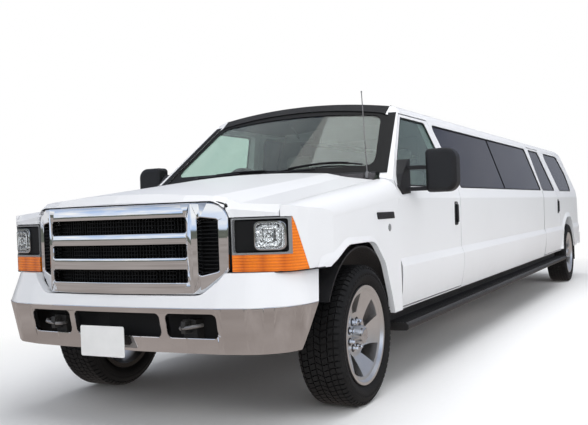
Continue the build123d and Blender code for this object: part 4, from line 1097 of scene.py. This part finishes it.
def seats():
    seat = stuffed("seat foam", (0.50, 0.50, 0.150), 0.022)
    back = stuffed("back foam", (0.50, 0.54, 0.110), 0.022)
    bench = stuffed("bench foam", (0.635, 0.49, 0.145), 0.022, (-0.25, 0.0, 0.25))
    bench_back = stuffed("bench back foam", (0.635, 0.215, 0.085), 0.018, (-0.25, 0.0, 0.25))
    tall_back = stuffed("tall back foam", (0.50, 0.40, 0.110), 0.022)
    rest = stuffed("head foam", (0.225, 0.165, 0.070), 0.014, ())
    quarter = turned(90, "Z")
    for side, sign in SIDES:
        y = sign * 0.46
        for name, mesh, x, z, lean in (("seat_cushion", seat, -1.640, 0.900, -4),
                                       ("seat_back", back, -1.985, 1.170, 76),
                                       ("head_rest", rest, -2.075, 1.520, 80)):
            pad = place_pad(f"front_{name}_{side}", mesh, (at(x), y, z), turned(lean, "Y") @ quarter)
        plinth = Form().box((at(-1.890), y - 0.225, FLOOR_TOP), (at(-1.400), y + 0.225, 0.825))
        plinth.box((at(-1.900), y - 0.250, 0.800), (at(-1.390), y + 0.250, 0.830))
        for z in (1.42, 1.45):
            for post_y in (y - 0.05, y + 0.05):
                plinth.tube([(at(-2.045), post_y, z - 0.02), (at(-2.062), post_y, z + 0.02)], 0.006)
        plinth.make(f"front_seat_base_{side}", DASH, ease=0.010)
    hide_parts("front_seats")

    for k in range(4):
        x = at(-2.800) - 0.332 - 0.6615 * k
        place_pad(f"lounge_cushion_{k + 1}", bench, (x, -0.605, 0.945), Matrix.Identity(4))
        place_pad(f"lounge_back_{k + 1}", bench_back, (x, -0.812, 1.128), turned(-86, "X") @ turned(180, "Z"))
    for k, y in enumerate((-0.265, 0.265)):
        place_pad(f"rear_cushion_{k + 1}", seat, (aft(-0.285), y, 0.940), quarter)
        place_pad(f"rear_back_{k + 1}", tall_back, (aft(-0.625), y, 1.215), turned(86, "Y") @ quarter)
    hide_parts("lounge_seats")
    base = Form().box((aft(2.052), -0.866, FLOOR_TOP), (at(-2.802), -0.372, 0.872))
    base.box((aft(2.052), -0.867, 0.872), (at(-2.802), -0.845, 1.235))
    base.box((aft(-0.555), -0.525, FLOOR_TOP), (aft(-0.035), 0.525, 0.868))
    base.box((aft(-0.698), -0.525, FLOOR_TOP), (aft(-0.672), 0.525, 1.410))
    base.make("lounge_seat_bases", PARTITION, ease=0.008)


def dash_fittings():
    hood = ((-0.720, 1.300), (-0.800, 1.345), (-0.905, 1.342), (-0.985, 1.282), (-0.955, 1.262), (-0.720, 1.262))
    binnacle = Form().prism([(at(x), -0.600, z) for x, z in hood], (0, 0.36, 0))
    binnacle.make("instrument_hood", DASH, ease=0.012)

    def on_dash(station, z):
        return at(station) + (z - 1.18) * 0.55

    vents = Form()
    for y in (-0.74, -0.10, 0.10, 0.74):
        loops = box_frame(y - 0.070, 1.185, y + 0.070, 1.245, 0.010, (0.014, 0.008), 4)
        vents.ring(*([(on_dash(-1.006, z), a, z) for a, z in loop] for loop in loops), (-0.010, 0, 0))
        for k in range(5):
            z = 1.199 + 0.008 * k
            vents.box((on_dash(-1.012, z), y - 0.060, z - 0.0015), (on_dash(-1.002, z), y + 0.060, z + 0.0015))
    vents.make("dash_vents", PLASTIC)

    x = at(-1.200)
    loop = rounded_loop([(-0.125, 1.640), (0.125, 1.640), (0.118, 1.705), (-0.118, 1.705)], 0.022)
    mirror = Form().prism(across(x, loop), (0.020, 0, 0))
    mirror.tube([(x + 0.018, 0, 1.672), (x + 0.050, 0, 1.700), (windshield_x(0, 1.745) - 0.040, 0, 1.745)], 0.008)
    mirror.make("cabin_mirror", PLASTIC, ease=0.004)


for end, axle in (("front", FRONT_AXLE), ("rear", REAR_AXLE)):
    for side, sign in SIDES:
        wheel_pieces(end, axle, side, sign)
gaskets()
shut_gap_seal_and_shades()
windshield_surround()
cowl_and_wipers()
front_fittings()
side_fittings()
tail_fittings()
seats()
dash_fittings()


# Floor, reflection cards, light and camera
def staged(name, verts, faces, label):
    """Stage piece with a material of its own, and that material's graph."""
    shape = bpy.data.meshes.new(name)
    shape.from_pydata(verts, [], faces)
    piece = bpy.data.objects.new(name, shape)
    scene.collection.objects.link(piece)
    finish = bpy.data.materials.new(label)
    finish.use_nodes = True
    shape.materials.append(finish)
    return piece, Graph(finish.node_tree)


def studio_floor():
    half = 40.0
    verts = [(-half, -half, 0), (half, -half, 0), (half, half, 0), (-half, half, 0)]
    g = staged("studio_floor", verts, [(0, 1, 2, 3)], "pale studio floor")[1]
    shader = g.tree.nodes["Principled BSDF"]
    shader.inputs["Roughness"].default_value = 0.9
    shader.inputs["Specular IOR Level"].default_value = 0.1
    g.link(g.mix(g.noise(30.0, 4.0), (0.80, 0.80, 0.80, 1), (0.84, 0.84, 0.84, 1)), shader.inputs["Base Color"])
    away = g.vector("LENGTH", {0: g.vector("MULTIPLY", {0: g.spot(), 1: (0.135, 0.32, 1.0)})}, "Value")
    white = g.node("Emission", {"Color": WHITE, "Strength": 1.0}).outputs[0]
    factor = g.mul(g.spread(away, 0.70, 1.15), g.looked_at())
    blend = g.node("MixShader", {0: factor, 1: shader.outputs[0], 2: white}).outputs[0]
    g.link(blend, g.tree.nodes["Material Output"].inputs["Surface"])


def floor_mat_tone(g):
    return g.mix(g.spread(g.noise(0.7, 4.0), 0.35, 0.7), (0.30, 0.265, 0.25, 1), (0.42, 0.38, 0.365, 1))


def wall_card_tone(g):
    """Dark ragged bank below, clouds above it, darker high up and towards the rear."""
    height = g.spot_along("Z")
    ragged = g.add(height, g.mul(g.noise(0.55, 4.0), 1.6))
    bank = g.mix(g.noise(1.2), (0.05, 0.06, 0.05, 1), (0.20, 0.21, 0.18, 1))
    cloud = g.spread(g.noise(0.11, 4.0), 0.42, 0.60)
    low_sky = g.mix(cloud, (0.52, 0.66, 0.92, 1), WHITE)
    high_sky = g.mix(cloud, (0.20, 0.25, 0.36, 1), (0.34, 0.37, 0.45, 1))
    rear_sky = g.mix(cloud, (0.20, 0.23, 0.31, 1), (0.36, 0.38, 0.44, 1))
    sky = g.mix(g.spread(height, 9.0, 26.0), low_sky, high_sky)
    sky = g.mix(g.spread(g.spot_along("X"), -16.0, 10.0), rear_sky, sky)
    return g.mix(g.spread(ragged, 2.9, 3.5), bank, sky)


def reflection_cards():
    """Floor mat and wall that only bright metal and glass reflect."""
    steps, reach, high = 72, 34.0, 60.0
    rim = [(reach * cos(2 * pi * k / steps), reach * sin(2 * pi * k / steps)) for k in range(steps)]
    for name, verts, faces, tone in (
            ("grey_floor_mat", [(x, y, 0.0015) for x, y in rim], [tuple(range(steps))], floor_mat_tone),
            ("curved_wall_card", [(x, y, z) for z in (0.0, high) for x, y in rim], band(steps), wall_card_tone)):
        card, g = staged(name, verts, faces, name.replace("_", " "))
        card.visible_camera = card.visible_diffuse = card.visible_transmission = card.visible_shadow = False
        glow = g.node("Emission", {"Color": tone(g), "Strength": 1.0}).outputs[0]
        g.link(glow, g.tree.nodes["Material Output"].inputs["Surface"])


def studio_world():
    world = bpy.data.worlds.new("studio")
    scene.world = world
    world.use_nodes = True
    g = Graph(world.node_tree)
    sky = g.tree.nodes["Background"]
    up = g.node("SeparateXYZ", {"Vector": g.node("TexCoord").outputs["Generated"]}).outputs["Z"]
    ramp = g.node("ValToRGB", {"Fac": g.spread(up, -0.1, 0.9)})
    tones = ramp.color_ramp.elements
    tones[0].color = (0.42, 0.42, 0.43, 1)
    tones[1].color = (0.80, 0.84, 0.92, 1)
    tones.new(0.35).color = (0.72, 0.73, 0.75, 1)
    g.link(ramp.outputs[0], sky.inputs["Color"])
    sky.inputs["Strength"].default_value = 0.62
    backdrop = g.node("Background", {"Color": WHITE, "Strength": 1.0}).outputs[0]
    blend = g.node("MixShader", {0: g.looked_at(), 1: sky.outputs[0], 2: backdrop}).outputs[0]
    g.link(blend, g.tree.nodes["World Output"].inputs["Surface"])


def aimed(name, data, spot, toward):
    """Lamp or camera set at a spot and looking along a direction."""
    made = bpy.data.objects.new(name, data)
    scene.collection.objects.link(made)
    made.matrix_world = Matrix.Translation(spot) @ toward.to_track_quat("-Z", "Y").to_matrix().to_4x4()
    return made


def softboxes():
    for name, spot, target, size, power in (("overhead", (0.0, 1.0, 6.5), (0.0, 0.0, 0.0), (13.0, 6.0), 520.0),
                                            ("front", (11.0, 3.0, 4.2), (3.5, 0.0, 0.7), (5.0, 4.0), 210.0),
                                            ("side", (1.0, 9.0, 4.0), (0.0, 0.0, 0.8), (11.0, 4.0), 280.0)):
        light = bpy.data.lights.new(f"softbox_{name}", "AREA")
        light.shape = "RECTANGLE"
        light.size, light.size_y = size
        light.energy = power
        aimed(light.name, light, spot, Vector(target) - Vector(spot)).visible_glossy = False


def photo_camera():
    yaw, pitch, roll = -2.6596, -0.0014, -0.0372
    forward = Vector((cos(pitch) * cos(yaw), cos(pitch) * sin(yaw), sin(pitch)))
    lens = bpy.data.cameras.new("photo_camera")
    lens.sensor_fit = "HORIZONTAL"
    lens.sensor_width = 36.0
    lens.lens = 48.36
    lens.clip_end = 200.0
    scene.camera = aimed("photo_camera", lens, (8.0204, 2.7391, 1.1213), forward)
    scene.camera.matrix_world @= Matrix.Rotation(roll, 4, "Z")


studio_floor()
reflection_cards()
studio_world()
softboxes()
photo_camera()
scene.view_settings.view_transform = "Standard"
